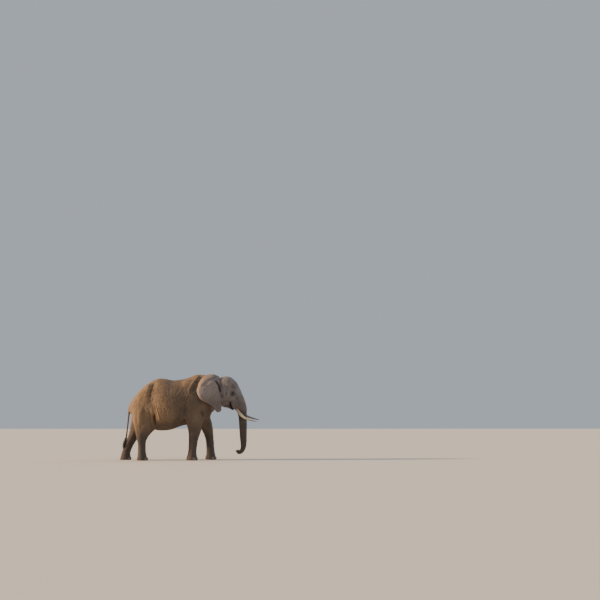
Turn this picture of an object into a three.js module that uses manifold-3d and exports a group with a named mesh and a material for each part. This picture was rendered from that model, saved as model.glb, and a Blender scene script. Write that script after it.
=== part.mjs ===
// African savanna elephant, adult, life size: a still model that stands in mid-stride, ears laid back, trunk hanging.
// Millimetres. +Z is up, +X is the way it faces, +Y is its left. It is shaped about a point of its midline under the
// barrel, then moved at the end so that the origin lies on the floor under the middle of its box.
import * as THREE from "three";
import { mergeVertices } from "three/addons/utils/BufferGeometryUtils.js";
import Module from "manifold-3d";

const wasm = await Module();
wasm.setup();

// ---------------------------------------------------------------- driving dimensions
const GAP = 0.4; // clearance between neighbouring pieces
const HEAD_TURN = THREE.MathUtils.degToRad(-6); // the head looks a little to its right
const NECK_PIVOT = 650; // x of the upright axis that the head turns about
const FLOOR = 0;
const SIDES = { left: 1, right: -1 };

const LEG_ROOM = 60; // how far the room a leg takes up stands off it, before and behind
const LEG_INNER = 85; // how far from the midline that room begins
const LEG_OUTER = 700; // and how far it reaches from there
const SHANK_CUT = 640; // height that parts a leg's upper length from its lower one
const FOOT_CUT = 235; // height that parts a leg from its foot
const TRUNK_TOP = 1760; // height that parts the trunk from the face
const TRUNK_CUTS = [1400, 1040, 700, 420]; // heights that part the trunk's lengths
const TAIL_CUTS = [1640, 850]; // heights that part the tail's root, length and tuft
const EYE_RADIUS = 25;

// ---------------------------------------------------------------- colours of the pieces
const hide = new THREE.MeshStandardMaterial({ color: 0x7a6a5c, roughness: 0.9, metalness: 0 });
const earHide = new THREE.MeshStandardMaterial({ color: 0x796c66, roughness: 0.9, metalness: 0 });
const ivory = new THREE.MeshStandardMaterial({ color: 0xd8c9a6, roughness: 0.45, metalness: 0 });
const nailHorn = new THREE.MeshStandardMaterial({ color: 0xa89880, roughness: 0.6, metalness: 0 });
const eyeball = new THREE.MeshStandardMaterial({ color: 0x2a1a10, roughness: 0.15, metalness: 0 });
const tailHair = new THREE.MeshStandardMaterial({ color: 0x2b2521, roughness: 0.8, metalness: 0 });

// ---------------------------------------------------------------- small tools
const at = (x, y, z) => new THREE.Vector3(x, y, z);

// Rows of [key, value, value, ...] as one smooth function of the key.
function profile(rows) {
  const width = rows[0].length - 1;
  const curve = new THREE.CubicInterpolant(
    rows.map((row) => row[0]),
    rows.flatMap((row) => row.slice(1)),
    width,
  );
  return (key) => Array.from(curve.evaluate(key));
}

// A form is a function of a point, below zero inside. This is an ellipsoid, leaned forwards by an angle about Y.
function ellipsoid([x, y, z], [rx, ry, rz], leanDegrees = 0) {
  const lean = THREE.MathUtils.degToRad(leanDegrees);
  const cos = Math.cos(lean);
  const sin = Math.sin(lean);
  return (p) => {
    const dx = (p.x - x) * cos - (p.z - z) * sin;
    const dz = (p.x - x) * sin + (p.z - z) * cos;
    const dy = p.y - y;
    const near = Math.hypot(dx / rx, dy / ry, dz / rz);
    const slope = Math.hypot(dx / rx ** 2, dy / ry ** 2, dz / rz ** 2);
    return slope > 0 ? (near * (near - 1)) / slope : -Math.min(rx, ry, rz);
  };
}

// A body whose cross-sections across X are ovals, pointed above and full below.
function sectioned(rows, roof, keel) {
  const section = profile(rows);
  const first = rows[0][0];
  const last = rows[rows.length - 1][0];
  return (p) => {
    const [top, bottom, wide, half] = section(p.x);
    const above = p.z > wide;
    const rise = above ? (p.z - wide) / (top - wide) : (wide - p.z) / (wide - bottom);
    const power = above ? roof : keel;
    const ratio = (rise ** power + (Math.abs(p.y) / half) ** power) ** (1 / power);
    const across = (ratio - 1) * Math.min(half, (top - bottom) / 2);
    return Math.max(across, first - p.x, p.x - last);
  };
}

// A body whose level cross-sections are ovals, from rows of [height, x, half length, half width].
function upright(rows) {
  const section = profile(rows);
  const first = rows[0][0];
  const last = rows[rows.length - 1][0];
  return (p) => {
    const [x, long, wide] = section(p.z);
    const ratio = Math.hypot((p.x - x) / long, p.y / wide);
    return Math.max((ratio - 1) * Math.min(long, wide), first - p.z, p.z - last);
  };
}

const levels = (rows, side) => profile([...rows].reverse().map(([x, y, z, ...radii]) => [z, x, y * side, ...radii]));

// A limb whose level cross-sections are ovals, down to a height.
function limb(rows, side, lowest) {
  const section = levels(rows, side);
  const highest = rows[0][2];
  return (p) => {
    if (p.z > highest) return Infinity;
    const [x, y, long, wide] = section(p.z);
    const across = (Math.hypot((p.x - x) / long, (p.y - y) / wide) - 1) * Math.min(long, wide);
    return Math.max(across, lowest - p.z);
  };
}

const softMin = (a, b, reach) => Math.min(a, b) - Math.max(reach - Math.abs(a - b), 0) ** 2 / (4 * reach);
const joined = (reach, ...forms) => (p) => forms.map((form) => form(p)).reduce((a, b) => softMin(a, b, reach));
const hollowed = (reach, form, ...hollows) => (p) =>
  hollows.reduce((a, hollow) => -softMin(-a, hollow(p), reach), form(p));
const bothSides = (form) => (p) => form(at(p.x, Math.abs(p.y), p.z));

// Moves each vertex of a geometry built round a line out along its own ray until it meets the form.
function wrap(geometry, line, form, reach, grown = 0) {
  const STEP = 25;
  const HALVINGS = 12;
  const position = geometry.attributes.position;
  const vertex = new THREE.Vector3();
  const root = new THREE.Vector3();
  const probe = new THREE.Vector3();
  for (let i = 0; i < position.count; i++) {
    vertex.fromBufferAttribute(position, i);
    line.closestPointToPoint(vertex, true, root);
    const ray = vertex.sub(root).normalize();
    const outside = (far) => form(probe.copy(root).addScaledVector(ray, far)) > 0;
    let near = 0;
    let far = STEP;
    while (far < reach && !outside(far)) {
      near = far;
      far += STEP;
    }
    for (let n = 0; n < HALVINGS && far < reach; n++) {
      const middle = (near + far) / 2;
      if (outside(middle)) far = middle;
      else near = middle;
    }
    probe.copy(root).addScaledVector(ray, Math.min(far, reach) + grown);
    position.setXYZ(i, probe.x, probe.y, probe.z);
  }
  return geometry;
}

// A capsule round a line, ready to be wrapped.
function capsuleRound(line, caps, around, rows) {
  const RADIUS = 200;
  const way = line.delta(new THREE.Vector3());
  const turn = new THREE.Quaternion().setFromUnitVectors(at(0, 1, 0), way.clone().normalize());
  const middle = line.getCenter(new THREE.Vector3());
  return new THREE.CapsuleGeometry(RADIUS, way.length(), caps, around, rows)
    .applyQuaternion(turn)
    .translate(middle.x, middle.y, middle.z);
}

// A tube of oval rings, from rows of [x, y, z, half depth, half width]. Width lies along Y as nearly as it can.
function tube(rows, around, steps, grown = 0) {
  const line = new THREE.CatmullRomCurve3(rows.map(([x, y, z]) => at(x, y, z)), false, "centripetal");
  const sizes = profile(rows.map(([, , , deep, wide], i) => [i / (rows.length - 1), deep, wide]));
  const geometry = new THREE.CylinderGeometry(1, 1, 1, around, steps);
  const position = geometry.attributes.position;
  for (let i = 0; i < position.count; i++) {
    const share = 0.5 - position.getY(i);
    const [deep, wide] = sizes(share);
    const tangent = line.getTangent(share);
    const side = at(0, 1, 0).addScaledVector(tangent, -tangent.y).normalize();
    const front = new THREE.Vector3().crossVectors(side, tangent);
    const point = line
      .getPoint(share)
      .addScaledVector(tangent, share === 0 ? -grown : share === 1 ? grown : 0)
      .addScaledVector(front, position.getX(i) * (deep + grown))
      .addScaledVector(side, position.getZ(i) * (wide + grown));
    position.setXYZ(i, point.x, point.y, point.z);
  }
  return geometry;
}

// A three.js geometry as a solid to cut, with its faces turned outwards.
function solid(geometry) {
  const bare = geometry.clone();
  bare.deleteAttribute("normal");
  bare.deleteAttribute("uv");
  const merged = mergeVertices(bare, 0.01);
  const points = merged.attributes.position;
  const corner = [0, 1, 2].map(() => new THREE.Vector3());
  const faces = [];
  let volume = 0;
  for (let i = 0; i < merged.index.count; i += 3) {
    const face = [0, 1, 2].map((n) => merged.index.getX(i + n));
    if (new Set(face).size < 3) continue;
    face.forEach((v, n) => corner[n].fromBufferAttribute(points, v));
    volume += corner[0].dot(corner[1].clone().cross(corner[2]));
    faces.push(face);
  }
  if (volume < 0) faces.forEach((face) => face.reverse());
  return new wasm.Manifold(
    new wasm.Mesh({ numProp: 3, vertProperties: points.array, triVerts: new Uint32Array(faces.flat()) }),
  );
}

const largest = (body) => body.decompose().reduce((a, b) => (b.volume() > a.volume() ? b : a));

// What lies on one side of a plane through a point, half a gap short of it.
function beyond(body, point, normal) {
  const n = normal.clone().normalize();
  return body.trimByPlane([n.x, n.y, n.z], n.dot(point) + GAP / 2);
}
const above = (body, height) => beyond(body, at(0, 0, height), at(0, 0, 1));
const below = (body, height) => beyond(body, at(0, 0, height), at(0, 0, -1));

// Parts an upright body at falling heights into lengths, from the top down.
function lengths(body, cuts) {
  const edges = [Infinity, ...cuts, -Infinity];
  return edges.slice(1).map((low, i) => {
    const under = edges[i] === Infinity ? body : below(body, edges[i]);
    return low === -Infinity ? under : above(under, low);
  });
}

function piece(name, body, material) {
  const { vertProperties, triVerts } = body.getMesh();
  const geometry = new THREE.BufferGeometry();
  geometry.setAttribute("position", new THREE.BufferAttribute(Float32Array.from(vertProperties), 3));
  geometry.setIndex(new THREE.BufferAttribute(Uint32Array.from(triVerts), 1));
  geometry.computeVertexNormals();
  const mesh = new THREE.Mesh(geometry, material);
  mesh.name = name;
  return mesh;
}

// ---------------------------------------------------------------- legs
// [x, y, z, half length, half width] from within the shoulder or the haunch down past the sole. y is for the left side.
const LEGS = {
  foreleg_right: [
    [60, 300, 2010, 70, 60],
    [80, 310, 1900, 190, 135],
    [110, 330, 1760, 255, 175],
    [140, 345, 1600, 290, 192],
    [168, 352, 1400, 295, 192],
    [182, 345, 1220, 275, 180],
    [188, 335, 1040, 240, 168],
    [168, 325, 880, 202, 156],
    [150, 315, 720, 178, 148],
    [132, 308, 540, 160, 144],
    [114, 302, 360, 150, 146],
    [106, 300, 216, 160, 160],
    [102, 300, 110, 192, 186],
    [104, 300, 45, 212, 204],
    [104, 300, -20, 202, 194],
  ],
  foreleg_left: [
    [130, 300, 2010, 70, 60],
    [190, 310, 1900, 190, 135],
    [270, 330, 1760, 260, 175],
    [360, 345, 1600, 300, 192],
    [470, 350, 1400, 295, 190],
    [550, 345, 1230, 262, 178],
    [620, 335, 1050, 218, 166],
    [672, 325, 880, 178, 154],
    [706, 315, 720, 158, 147],
    [726, 308, 540, 150, 143],
    [738, 302, 360, 148, 146],
    [746, 300, 216, 158, 160],
    [748, 300, 110, 190, 185],
    [752, 300, 45, 210, 202],
    [752, 300, -20, 200, 192],
  ],
  hindleg_right: [
    [-1610, 290, 2060, 90, 60],
    [-1630, 300, 1960, 250, 140],
    [-1645, 322, 1820, 345, 185],
    [-1648, 338, 1660, 388, 205],
    [-1640, 345, 1480, 395, 205],
    [-1610, 348, 1270, 375, 195],
    [-1590, 345, 1070, 350, 180],
    [-1640, 338, 900, 262, 164],
    [-1672, 328, 740, 180, 150],
    [-1672, 320, 620, 152, 138],
    [-1662, 310, 470, 138, 130],
    [-1656, 304, 300, 144, 138],
    [-1650, 300, 180, 158, 152],
    [-1644, 300, 100, 182, 170],
    [-1638, 300, 45, 202, 182],
    [-1638, 300, -20, 192, 174],
  ],
  hindleg_left: [
    [-1640, 290, 2060, 90, 60],
    [-1680, 300, 1960, 250, 140],
    [-1715, 322, 1820, 345, 185],
    [-1745, 338, 1660, 388, 205],
    [-1780, 345, 1480, 390, 205],
    [-1830, 348, 1270, 355, 195],
    [-1890, 345, 1080, 305, 180],
    [-1975, 338, 920, 245, 164],
    [-2070, 328, 780, 200, 150],
    [-2142, 320, 640, 180, 140],
    [-2216, 310, 480, 166, 133],
    [-2280, 304, 300, 160, 140],
    [-2304, 300, 180, 166, 152],
    [-2306, 300, 100, 182, 170],
    [-2302, 300, 45, 200, 182],
    [-2302, 300, -20, 190, 174],
  ],
};

// ---------------------------------------------------------------- form of the torso
// [x, top of back, underside, height of the widest place, half width]
const BARREL = [
  [-2195, 1990, 1850, 1920, 60],
  [-2150, 2080, 1700, 1900, 170],
  [-2050, 2205, 1520, 1880, 320],
  [-1926, 2365, 1420, 1880, 410],
  [-1778, 2535, 1340, 1880, 465],
  [-1631, 2668, 1260, 1870, 490],
  [-1483, 2762, 1190, 1850, 500],
  [-1336, 2848, 1110, 1820, 525],
  [-1192, 2902, 1055, 1790, 585],
  [-1044, 2916, 1032, 1760, 635],
  [-860, 2891, 1040, 1740, 665],
  [-713, 2855, 1062, 1740, 675],
  [-601, 2844, 1092, 1750, 675],
  [-493, 2848, 1130, 1770, 660],
  [-310, 2876, 1195, 1800, 625],
  [-126, 2922, 1250, 1830, 590],
  [58, 2978, 1290, 1860, 550],
  [241, 3018, 1315, 1880, 510],
  [370, 3022, 1350, 1890, 480],
  [500, 2950, 1400, 1900, 435],
  [620, 2840, 1470, 1900, 375],
  [710, 2560, 1560, 1900, 290],
  [775, 2150, 1680, 1880, 150],
];
const LIMB_ROOTS = 1500; // height below which the torso has no part of the legs
const BACK_ROUNDING = 1.75;
const BELLY_ROUNDING = 2.25;

// [x, nape, throat, height of the widest place, half width]
const NECK = [
  [150, 2900, 1950, 2330, 330],
  [400, 2985, 1830, 2330, 400],
  [650, 2965, 1820, 2330, 400],
  [900, 2940, 1860, 2330, 365],
  [1100, 2890, 1920, 2340, 330],
  [1300, 2800, 2000, 2380, 300],
];
const NECK_ROUNDING = 2;

// Each side's masses of bone and muscle that stand out of the trunk: [centre], [radii], lean. y is for the left side.
const SCAPULA = [[20, 300, 2300], [300, 185, 560], -12];
const POINT_OF_HIP = [[-1470, 275, 2430], [110, 120, 240], -14];
const HAUNCH = [[-1640, 275, 2000], [350, 215, 520], 12];
const BREAST = [[420, 255, 1720], [300, 190, 430], 14];
const onSide = (side, [[x, y, z], radii, lean]) => ellipsoid([x, y * side, z], radii, lean);
const muscles = Object.values(SIDES).flatMap((side) =>
  [SCAPULA, POINT_OF_HIP, HAUNCH, BREAST].map((mass) => onSide(side, mass)),
);
const barrel = sectioned(BARREL, BACK_ROUNDING, BELLY_ROUNDING);
const neckForm = sectioned(NECK, NECK_ROUNDING, NECK_ROUNDING);
const sideOf = (name) => (name.endsWith("left") ? SIDES.left : SIDES.right);
const withLimbs = (lowest) =>
  joined(120, barrel, ...muscles, ...Object.entries(LEGS).map(([name, rows]) => limb(rows, sideOf(name), lowest)));

// ---------------------------------------------------------------- form of the head
// [height, x of the middle, half length, half width] of the face as it narrows into the trunk
const FACE = [
  [1500, 1889, 158, 170],
  [1728, 1870, 180, 200],
  [1912, 1820, 207, 232],
  [2095, 1730, 246, 262],
  [2315, 1597, 288, 290],
  [2534, 1464, 330, 300],
  [2760, 1327, 318, 255],
];
const cranium = ellipsoid([1310, 0, 2615], [370, 338, 348]);
const crown = ellipsoid([1308, 100, 2768], [235, 165, 195]);
const cheek = ellipsoid([1270, 255, 2330], [235, 165, 310], 12);
const brow = ellipsoid([1552, 262, 2442], [150, 58, 62], 38);
const cheekbone = ellipsoid([1420, 300, 2290], [190, 75, 70], 30);
const sheath = ellipsoid([1628, 196, 1974], [140, 112, 248], -24);
const temple = ellipsoid([1405, 430, 2590], [150, 118, 185], 20);
const eyeHollow = ellipsoid([1584, 372, 2350], [85, 80, 60]);
const EYE = [1578, 292, 2346];

const headForm = hollowed(
  60,
  joined(90, cranium, upright(FACE), bothSides(joined(90, crown, cheek, brow, cheekbone, sheath))),
  bothSides(temple),
  bothSides(eyeHollow),
);
const bodyForm = joined(160, withLimbs(LIMB_ROOTS), neckForm, headForm);
const standingForm = withLimbs(-Infinity);

// ---------------------------------------------------------------- planes that part the body
const NECK_BASE = { point: at(420, 0, 3100), normal: at(1, 0, 0.271) };
const NECK_HEAD = { point: at(900, 0, 3050), normal: at(1, 0, 0.208) };
const BARREL_FRONT = { point: at(-230, 0, 2000), normal: at(1, 0, 0) };
const BARREL_BACK = { point: at(-1230, 0, 2000), normal: at(1, 0, 0) };
const TORSO_END = 980; // the torso is built this far into the neck before it is cut
const turned = (way) => way.clone().negate();

const TORSO_LINE = new THREE.Line3(at(-1560, 0, 2020), at(330, 0, 2200));
const NECK_LINE = new THREE.Line3(at(350, 0, 2450), at(1200, 0, 2400));
const HEAD_LINE = new THREE.Line3(at(1330, 0, 2640), at(1770, 0, 2020));

const torsoForm = (p) => Math.max(bodyForm(p), p.x - TORSO_END);
const torsoWrap = (grown) => solid(wrap(capsuleRound(TORSO_LINE, 4, 26, 17), TORSO_LINE, torsoForm, 1500, grown));
const headWrap = (grown) => solid(wrap(capsuleRound(HEAD_LINE, 6, 28, 7), HEAD_LINE, bodyForm, 900, grown));

// Turns points about the neck's upright axis, more and more from the neck's base to the head.
function bendNeck(body) {
  const SLOPE = 0.24;
  const start = NECK_BASE.point.x + 55;
  const end = NECK_HEAD.point.x - 60;
  return body.warp((v) => {
    const along = v[0] - (NECK_BASE.point.z - v[2]) * SLOPE;
    const angle = HEAD_TURN * THREE.MathUtils.smoothstep(along, start, end);
    const x = v[0] - NECK_PIVOT;
    const y = v[1];
    v[0] = NECK_PIVOT + x * Math.cos(angle) - y * Math.sin(angle);
    v[1] = x * Math.sin(angle) + y * Math.cos(angle);
  });
}

function neck(grown) {
  const whole = solid(wrap(capsuleRound(NECK_LINE, 2, 26, 4), NECK_LINE, bodyForm, 1000, grown));
  const front = beyond(whole, NECK_BASE.point, NECK_BASE.normal);
  return bendNeck(beyond(front, NECK_HEAD.point, turned(NECK_HEAD.normal)));
}

// ---------------------------------------------------------------- ears
// The outline of the ear laid flat, seen from its side, as [x, z], from the front of its root round over the top.
const EAR_OUTLINE = [
  [1110, 2810],
  [1050, 2965],
  [905, 3062],
  [690, 3040],
  [500, 2940],
  [345, 2750],
  [272, 2530],
  [292, 2370],
  [385, 2185],
  [505, 2070],
  [680, 1985],
  [860, 1875],
  [990, 1722],
  [1105, 1662],
  [1184, 1748],
  [1176, 1950],
  [1135, 2150],
  [1120, 2400],
  [1120, 2620],
];
const EAR_LOBE_SWING = { left: 0.17, right: 0 }; // how far the hanging part of each ear is swung back
const EAR_MIDDLE = [720, 2480];
const EAR_THICKNESS = 26; // half of it, at the middle
const EAR_CLEARANCE = 1.5; // what the ear keeps from the bent neck behind it

// [height, how far out from the midline] of the ear's sheet at its root, where it grows out of the head's side
const EAR_ROOT = profile([
  [1690, 340],
  [1900, 358],
  [2050, 372],
  [2200, 378],
  [2350, 378],
  [2450, 362],
  [2550, 338],
  [2650, 308],
  [2750, 268],
  [2850, 212],
  [2950, 150],
  [3080, 100],
]);
const EAR_ROOT_FRONT = 1110; // x from which the sheet leaves the head, backwards
const EAR_FLARE = 260; // how much farther out its rear edge stands than its root

// How far out from the midline the ear's sheet lies.
function earSheet(x, z) {
  const back = Math.max(EAR_ROOT_FRONT - x, 0);
  const spread = EAR_FLARE * (1 - Math.exp(-(back ** 2) / (380 * (back + 60))));
  const hang = -70 * THREE.MathUtils.smoothstep(2300 - z, 0, 600) * THREE.MathUtils.smoothstep(back, 40, 460);
  const folds = 16 * Math.sin(x / 92 + z / 260) * THREE.MathUtils.smoothstep(back, 60, 400);
  return EAR_ROOT(z)[0] + spread + hang + folds;
}

function ear(name) {
  const side = SIDES[name];
  const AROUND = 26;
  const ROWS = 7;
  const rim = new THREE.CatmullRomCurve3(EAR_OUTLINE.map(([x, z]) => at(x, 0, z)), true, "centripetal");
  const middle = at(EAR_MIDDLE[0], 0, EAR_MIDDLE[1]);
  const geometry = new THREE.SphereGeometry(1, AROUND, ROWS);
  const position = geometry.attributes.position;
  const uv = geometry.attributes.uv;
  for (let i = 0; i < position.count; i++) {
    const height = position.getY(i);
    const spread = Math.sqrt(Math.max(1 - height * height, 0));
    const edge = rim.getPoint(uv.getX(i) % 1);
    const flat = middle.clone().lerp(edge, spread);
    const thick = Math.sign(height) * Math.abs(height) ** 0.45 * EAR_THICKNESS;
    const swing = EAR_LOBE_SWING[name] * Math.max(EAR_MIDDLE[1] - flat.z, 0);
    position.setXYZ(i, flat.x - swing, side * (earSheet(flat.x, flat.z) + thick), flat.z);
  }
  return solid(geometry);
}

// ---------------------------------------------------------------- tusks, jaw and eyes
// [x, y, z, radius]. The left tusk is a little longer than the right and carried higher.
const TUSK = [
  [1625, 204, 1925, 50],
  [1697, 228, 1805, 53],
  [1784, 252, 1680, 52],
  [1878, 272, 1582, 48],
  [1985, 290, 1500, 42],
  [2110, 304, 1440, 34],
  [2250, 312, 1394, 24],
  [2350, 312, 1374, 15],
  [2420, 308, 1368, 6],
];
const TUSK_LIFT = { left: 70, right: 0 };
const TUSK_LENGTH = { left: 1.07, right: 1 };

function tusk(name, grown = 0) {
  const rows = TUSK.map(([x, y, z, r], i) => {
    const raise = TUSK_LIFT[name] * Math.sin((Math.PI * i) / (TUSK.length - 1) * 0.75);
    return [TUSK[0][0] + (x - TUSK[0][0]) * TUSK_LENGTH[name], y * SIDES[name], z + raise, r, r];
  });
  return solid(tube(rows, 8, 9, grown));
}

// [x, y, z, half depth, half width] of the lower jaw, from its angle to the drooping lip
const JAW = [
  [1110, 0, 2110, 200, 255],
  [1210, 0, 2060, 198, 232],
  [1310, 0, 2010, 162, 195],
  [1395, 0, 1960, 126, 156],
  [1462, 0, 1900, 96, 118],
  [1512, 0, 1838, 66, 82],
  [1540, 0, 1792, 36, 46],
  [1552, 0, 1762, 12, 18],
];

const eye = (side, grown = 0) =>
  solid(new THREE.SphereGeometry(EYE_RADIUS + grown, 8, 6).translate(EYE[0], side * EYE[1], EYE[2]));

// ---------------------------------------------------------------- trunk and tail
const TRUNK = [
  [1862, 0, 1860, 190, 216],
  [1871, 0, 1700, 175, 196],
  [1894, 0, 1540, 155, 170],
  [1906, 0, 1320, 147, 158],
  [1916, 0, 1030, 137, 145],
  [1928, 0, 734, 123, 130],
  [1936, 0, 570, 110, 117],
  [1926, 0, 450, 96, 103],
  [1888, 0, 345, 82, 91],
  [1828, 0, 280, 72, 80],
  [1765, 0, 268, 64, 72],
  [1722, 0, 300, 60, 68],
  [1708, 0, 352, 58, 64],
];
const TAIL = [
  [-2040, 0, 2010, 110, 105],
  [-2125, 0, 1915, 80, 80],
  [-2168, 0, 1800, 54, 56],
  [-2187, 0, 1680, 38, 42],
  [-2203, 0, 1450, 33, 34],
  [-2222, 0, 1200, 30, 30],
  [-2243, 0, 950, 28, 28],
  [-2258, 0, 830, 40, 36],
  [-2280, 0, 720, 58, 44],
  [-2302, 0, 600, 58, 44],
  [-2335, 0, 490, 38, 30],
  [-2368, 0, 405, 10, 10],
];

// ---------------------------------------------------------------- nails
const NAIL_ANGLES = { fore: [-62, -22, 22, 62], hind: [-45, 0, 45] };
const NAIL_RADII = [20, 50, 43]; // out, across, up
const NAIL_HEIGHT = 60;
const NAIL_SET = 7; // how deep a nail's middle lies under the foot's surface

function nail(rows, side, degrees, grown = 0) {
  const angle = THREE.MathUtils.degToRad(degrees);
  const [x, y, , long, wide] = rows[rows.length - 2];
  return solid(
    new THREE.SphereGeometry(1, 6, 4)
      .scale(...NAIL_RADII.map((r) => r + grown))
      .rotateZ(angle)
      .translate(
        x + (long - NAIL_SET) * Math.cos(angle),
        y * side + (wide - NAIL_SET) * Math.sin(angle),
        NAIL_HEIGHT,
      ),
  );
}

// ---------------------------------------------------------------- the pieces
const elephant = new THREE.Group();
const head = new THREE.Group(); // all that turns with the head
head.position.set(NECK_PIVOT * (1 - Math.cos(HEAD_TURN)), -NECK_PIVOT * Math.sin(HEAD_TURN), 0);
head.rotation.z = HEAD_TURN;
elephant.add(head);

function addTorso() {
  const bare = Object.keys(LEGS).reduce((body, name) => body.subtract(legRoom(name, GAP)), torsoWrap(0));
  const whole = beyond(largest(bare), NECK_BASE.point, turned(NECK_BASE.normal));
  const front = beyond(whole, BARREL_FRONT.point, BARREL_FRONT.normal);
  const rest = beyond(whole, BARREL_FRONT.point, turned(BARREL_FRONT.normal));
  const middle = beyond(rest, BARREL_BACK.point, BARREL_BACK.normal);
  const rear = beyond(rest, BARREL_BACK.point, turned(BARREL_BACK.normal));
  elephant.add(piece("shoulders", front, hide));
  elephant.add(piece("barrel", middle, hide));
  elephant.add(piece("hindquarters", rear, hide));
}

function addNeck() {
  elephant.add(piece("neck", neck(0), hide));
}

function addHead() {
  const trimmed = (body) => above(beyond(body, NECK_HEAD.point, NECK_HEAD.normal), TRUNK_TOP);
  const grownHead = headWrap(GAP);
  const grownNeck = neck(EAR_CLEARANCE)
    .translate([-NECK_PIVOT, 0, 0])
    .rotate([0, 0, -THREE.MathUtils.radToDeg(HEAD_TURN)])
    .translate([NECK_PIVOT, 0, 0]);
  let skull = trimmed(headWrap(0));
  for (const [name, side] of Object.entries(SIDES)) {
    skull = skull.subtract(tusk(name, GAP)).subtract(eye(side, GAP));
    head.add(piece(`tusk_${name}`, tusk(name), ivory));
    head.add(piece(`eye_${name}`, eye(side), eyeball));
    head.add(piece(`ear_${name}`, largest(ear(name).subtract(grownHead).subtract(grownNeck)), earHide));
  }
  head.add(piece("head", largest(skull), hide));
  const jaw = beyond(solid(tube(JAW, 10, 6)), NECK_HEAD.point, NECK_HEAD.normal);
  head.add(piece("lower_jaw", largest(jaw.subtract(grownHead)), hide));
}

function addTrunk() {
  const names = ["base", "upper", "middle", "lower", "tip"];
  const whole = below(solid(tube(TRUNK, 12, 18)), TRUNK_TOP);
  lengths(whole, TRUNK_CUTS).forEach((body, i) => head.add(piece(`trunk_${names[i]}`, largest(body), hide)));
}

function addTail() {
  const names = ["root", "length", "tuft"];
  const whole = solid(tube(TAIL, 7, 12)).subtract(torsoWrap(GAP));
  lengths(largest(whole), TAIL_CUTS).forEach((body, i) =>
    elephant.add(piece(`tail_${names[i]}`, largest(body), i === 2 ? tailHair : hide)),
  );
}

// The room a leg takes up: its outline seen from the side, a little wide of it, carried across from near the midline.
function legRoom(name, grown) {
  const side = sideOf(name);
  const rows = LEGS[name];
  const spread = LEG_ROOM + grown;
  const front = rows.map(([x, , z, long]) => new THREE.Vector2(x + long + spread, z));
  const back = rows.map(([x, , z, long]) => new THREE.Vector2(x - long - spread, z)).reverse();
  front[0].y += grown;
  back[back.length - 1].y += grown;
  const outline = new THREE.Shape([...front, ...back]);
  const inner = LEG_INNER - grown;
  return solid(
    new THREE.ExtrudeGeometry(outline, { depth: LEG_OUTER, bevelEnabled: false })
      .rotateX(Math.PI / 2)
      .translate(0, side > 0 ? inner + LEG_OUTER : -inner, 0),
  );
}

function addLeg(name) {
  const side = sideOf(name);
  const [hip, sole] = [LEGS[name][2], LEGS[name].at(-2)];
  const line = new THREE.Line3(at(hip[0], hip[1] * side, hip[2]), at(sole[0], sole[1] * side, 120));
  const section = levels(LEGS[name], side);
  const kept = (p) => {
    const [x, , long] = section(Math.min(p.z, hip[2]));
    return Math.max(standingForm(p), Math.abs(p.x - x) - long - LEG_ROOM - 1, LEG_INNER + 1 - p.y * side);
  };
  const flesh = solid(wrap(capsuleRound(line, 2, 12, 12), line, kept, 700));
  const whole = largest(flesh.intersect(legRoom(name, 0)));
  const standing = whole.trimByPlane([0, 0, 1], FLOOR);
  const [upper, lower, foot] = lengths(standing, [SHANK_CUT, FOOT_CUT]);
  const angles = NAIL_ANGLES[name.startsWith("fore") ? "fore" : "hind"];
  const bare = angles.reduce((body, degrees) => body.subtract(nail(LEGS[name], side, degrees, GAP)), foot);
  elephant.add(piece(`${name}_upper`, largest(upper), hide));
  elephant.add(piece(`${name}_lower`, lower, hide));
  elephant.add(piece(`${name}_foot`, bare, hide));
  angles.forEach((degrees, i) =>
    elephant.add(piece(`${name}_nail_${i + 1}`, nail(LEGS[name], side, degrees), nailHorn)),
  );
}

addTorso();
addNeck();
addHead();
addTrunk();
addTail();
Object.keys(LEGS).forEach(addLeg);

// The origin goes to the floor under the middle of the box.
const box = new THREE.Box3().setFromObject(elephant, true);
const centre = box.getCenter(new THREE.Vector3());
elephant.position.set(-centre.x, -centre.y, -FLOOR);

export default elephant;
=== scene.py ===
"""An adult African savanna elephant, life size: one wrinkled hide over the flesh, with eyes, tusks, nails and hair."""
import itertools
import math

import bmesh
import bpy
import numpy as np
from bpy.props import FloatProperty, FloatVectorProperty, IntProperty, PointerProperty
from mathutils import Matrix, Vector
from mathutils.bvhtree import BVHTree


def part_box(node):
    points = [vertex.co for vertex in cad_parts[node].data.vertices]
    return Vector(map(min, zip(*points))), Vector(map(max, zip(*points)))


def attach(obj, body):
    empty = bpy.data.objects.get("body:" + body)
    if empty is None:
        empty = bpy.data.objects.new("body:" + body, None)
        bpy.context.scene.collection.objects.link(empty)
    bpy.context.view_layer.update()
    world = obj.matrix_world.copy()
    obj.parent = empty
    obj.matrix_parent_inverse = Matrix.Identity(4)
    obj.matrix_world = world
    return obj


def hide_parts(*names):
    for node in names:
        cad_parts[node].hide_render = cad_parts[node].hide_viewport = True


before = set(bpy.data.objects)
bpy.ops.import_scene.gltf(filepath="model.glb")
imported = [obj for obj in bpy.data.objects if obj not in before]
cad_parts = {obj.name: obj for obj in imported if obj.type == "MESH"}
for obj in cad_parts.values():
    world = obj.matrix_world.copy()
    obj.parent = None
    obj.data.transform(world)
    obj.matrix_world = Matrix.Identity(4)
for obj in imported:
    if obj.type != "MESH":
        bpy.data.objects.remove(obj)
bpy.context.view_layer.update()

bl_info = {
    "name": "African Elephant",
    "version": (1, 0, 0),
    "blender": (4, 5, 0),
    "location": "3D View > Sidebar > Elephant",
    "description": "Builds the hide, eyes, tusks, nails and hair of a life-size elephant",
    "category": "Object",
}

MM = 0.001
BODY = "root"
SIDES = {"right": -1, "left": 1}  # the elephant's own sides: +Y is its left

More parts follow.
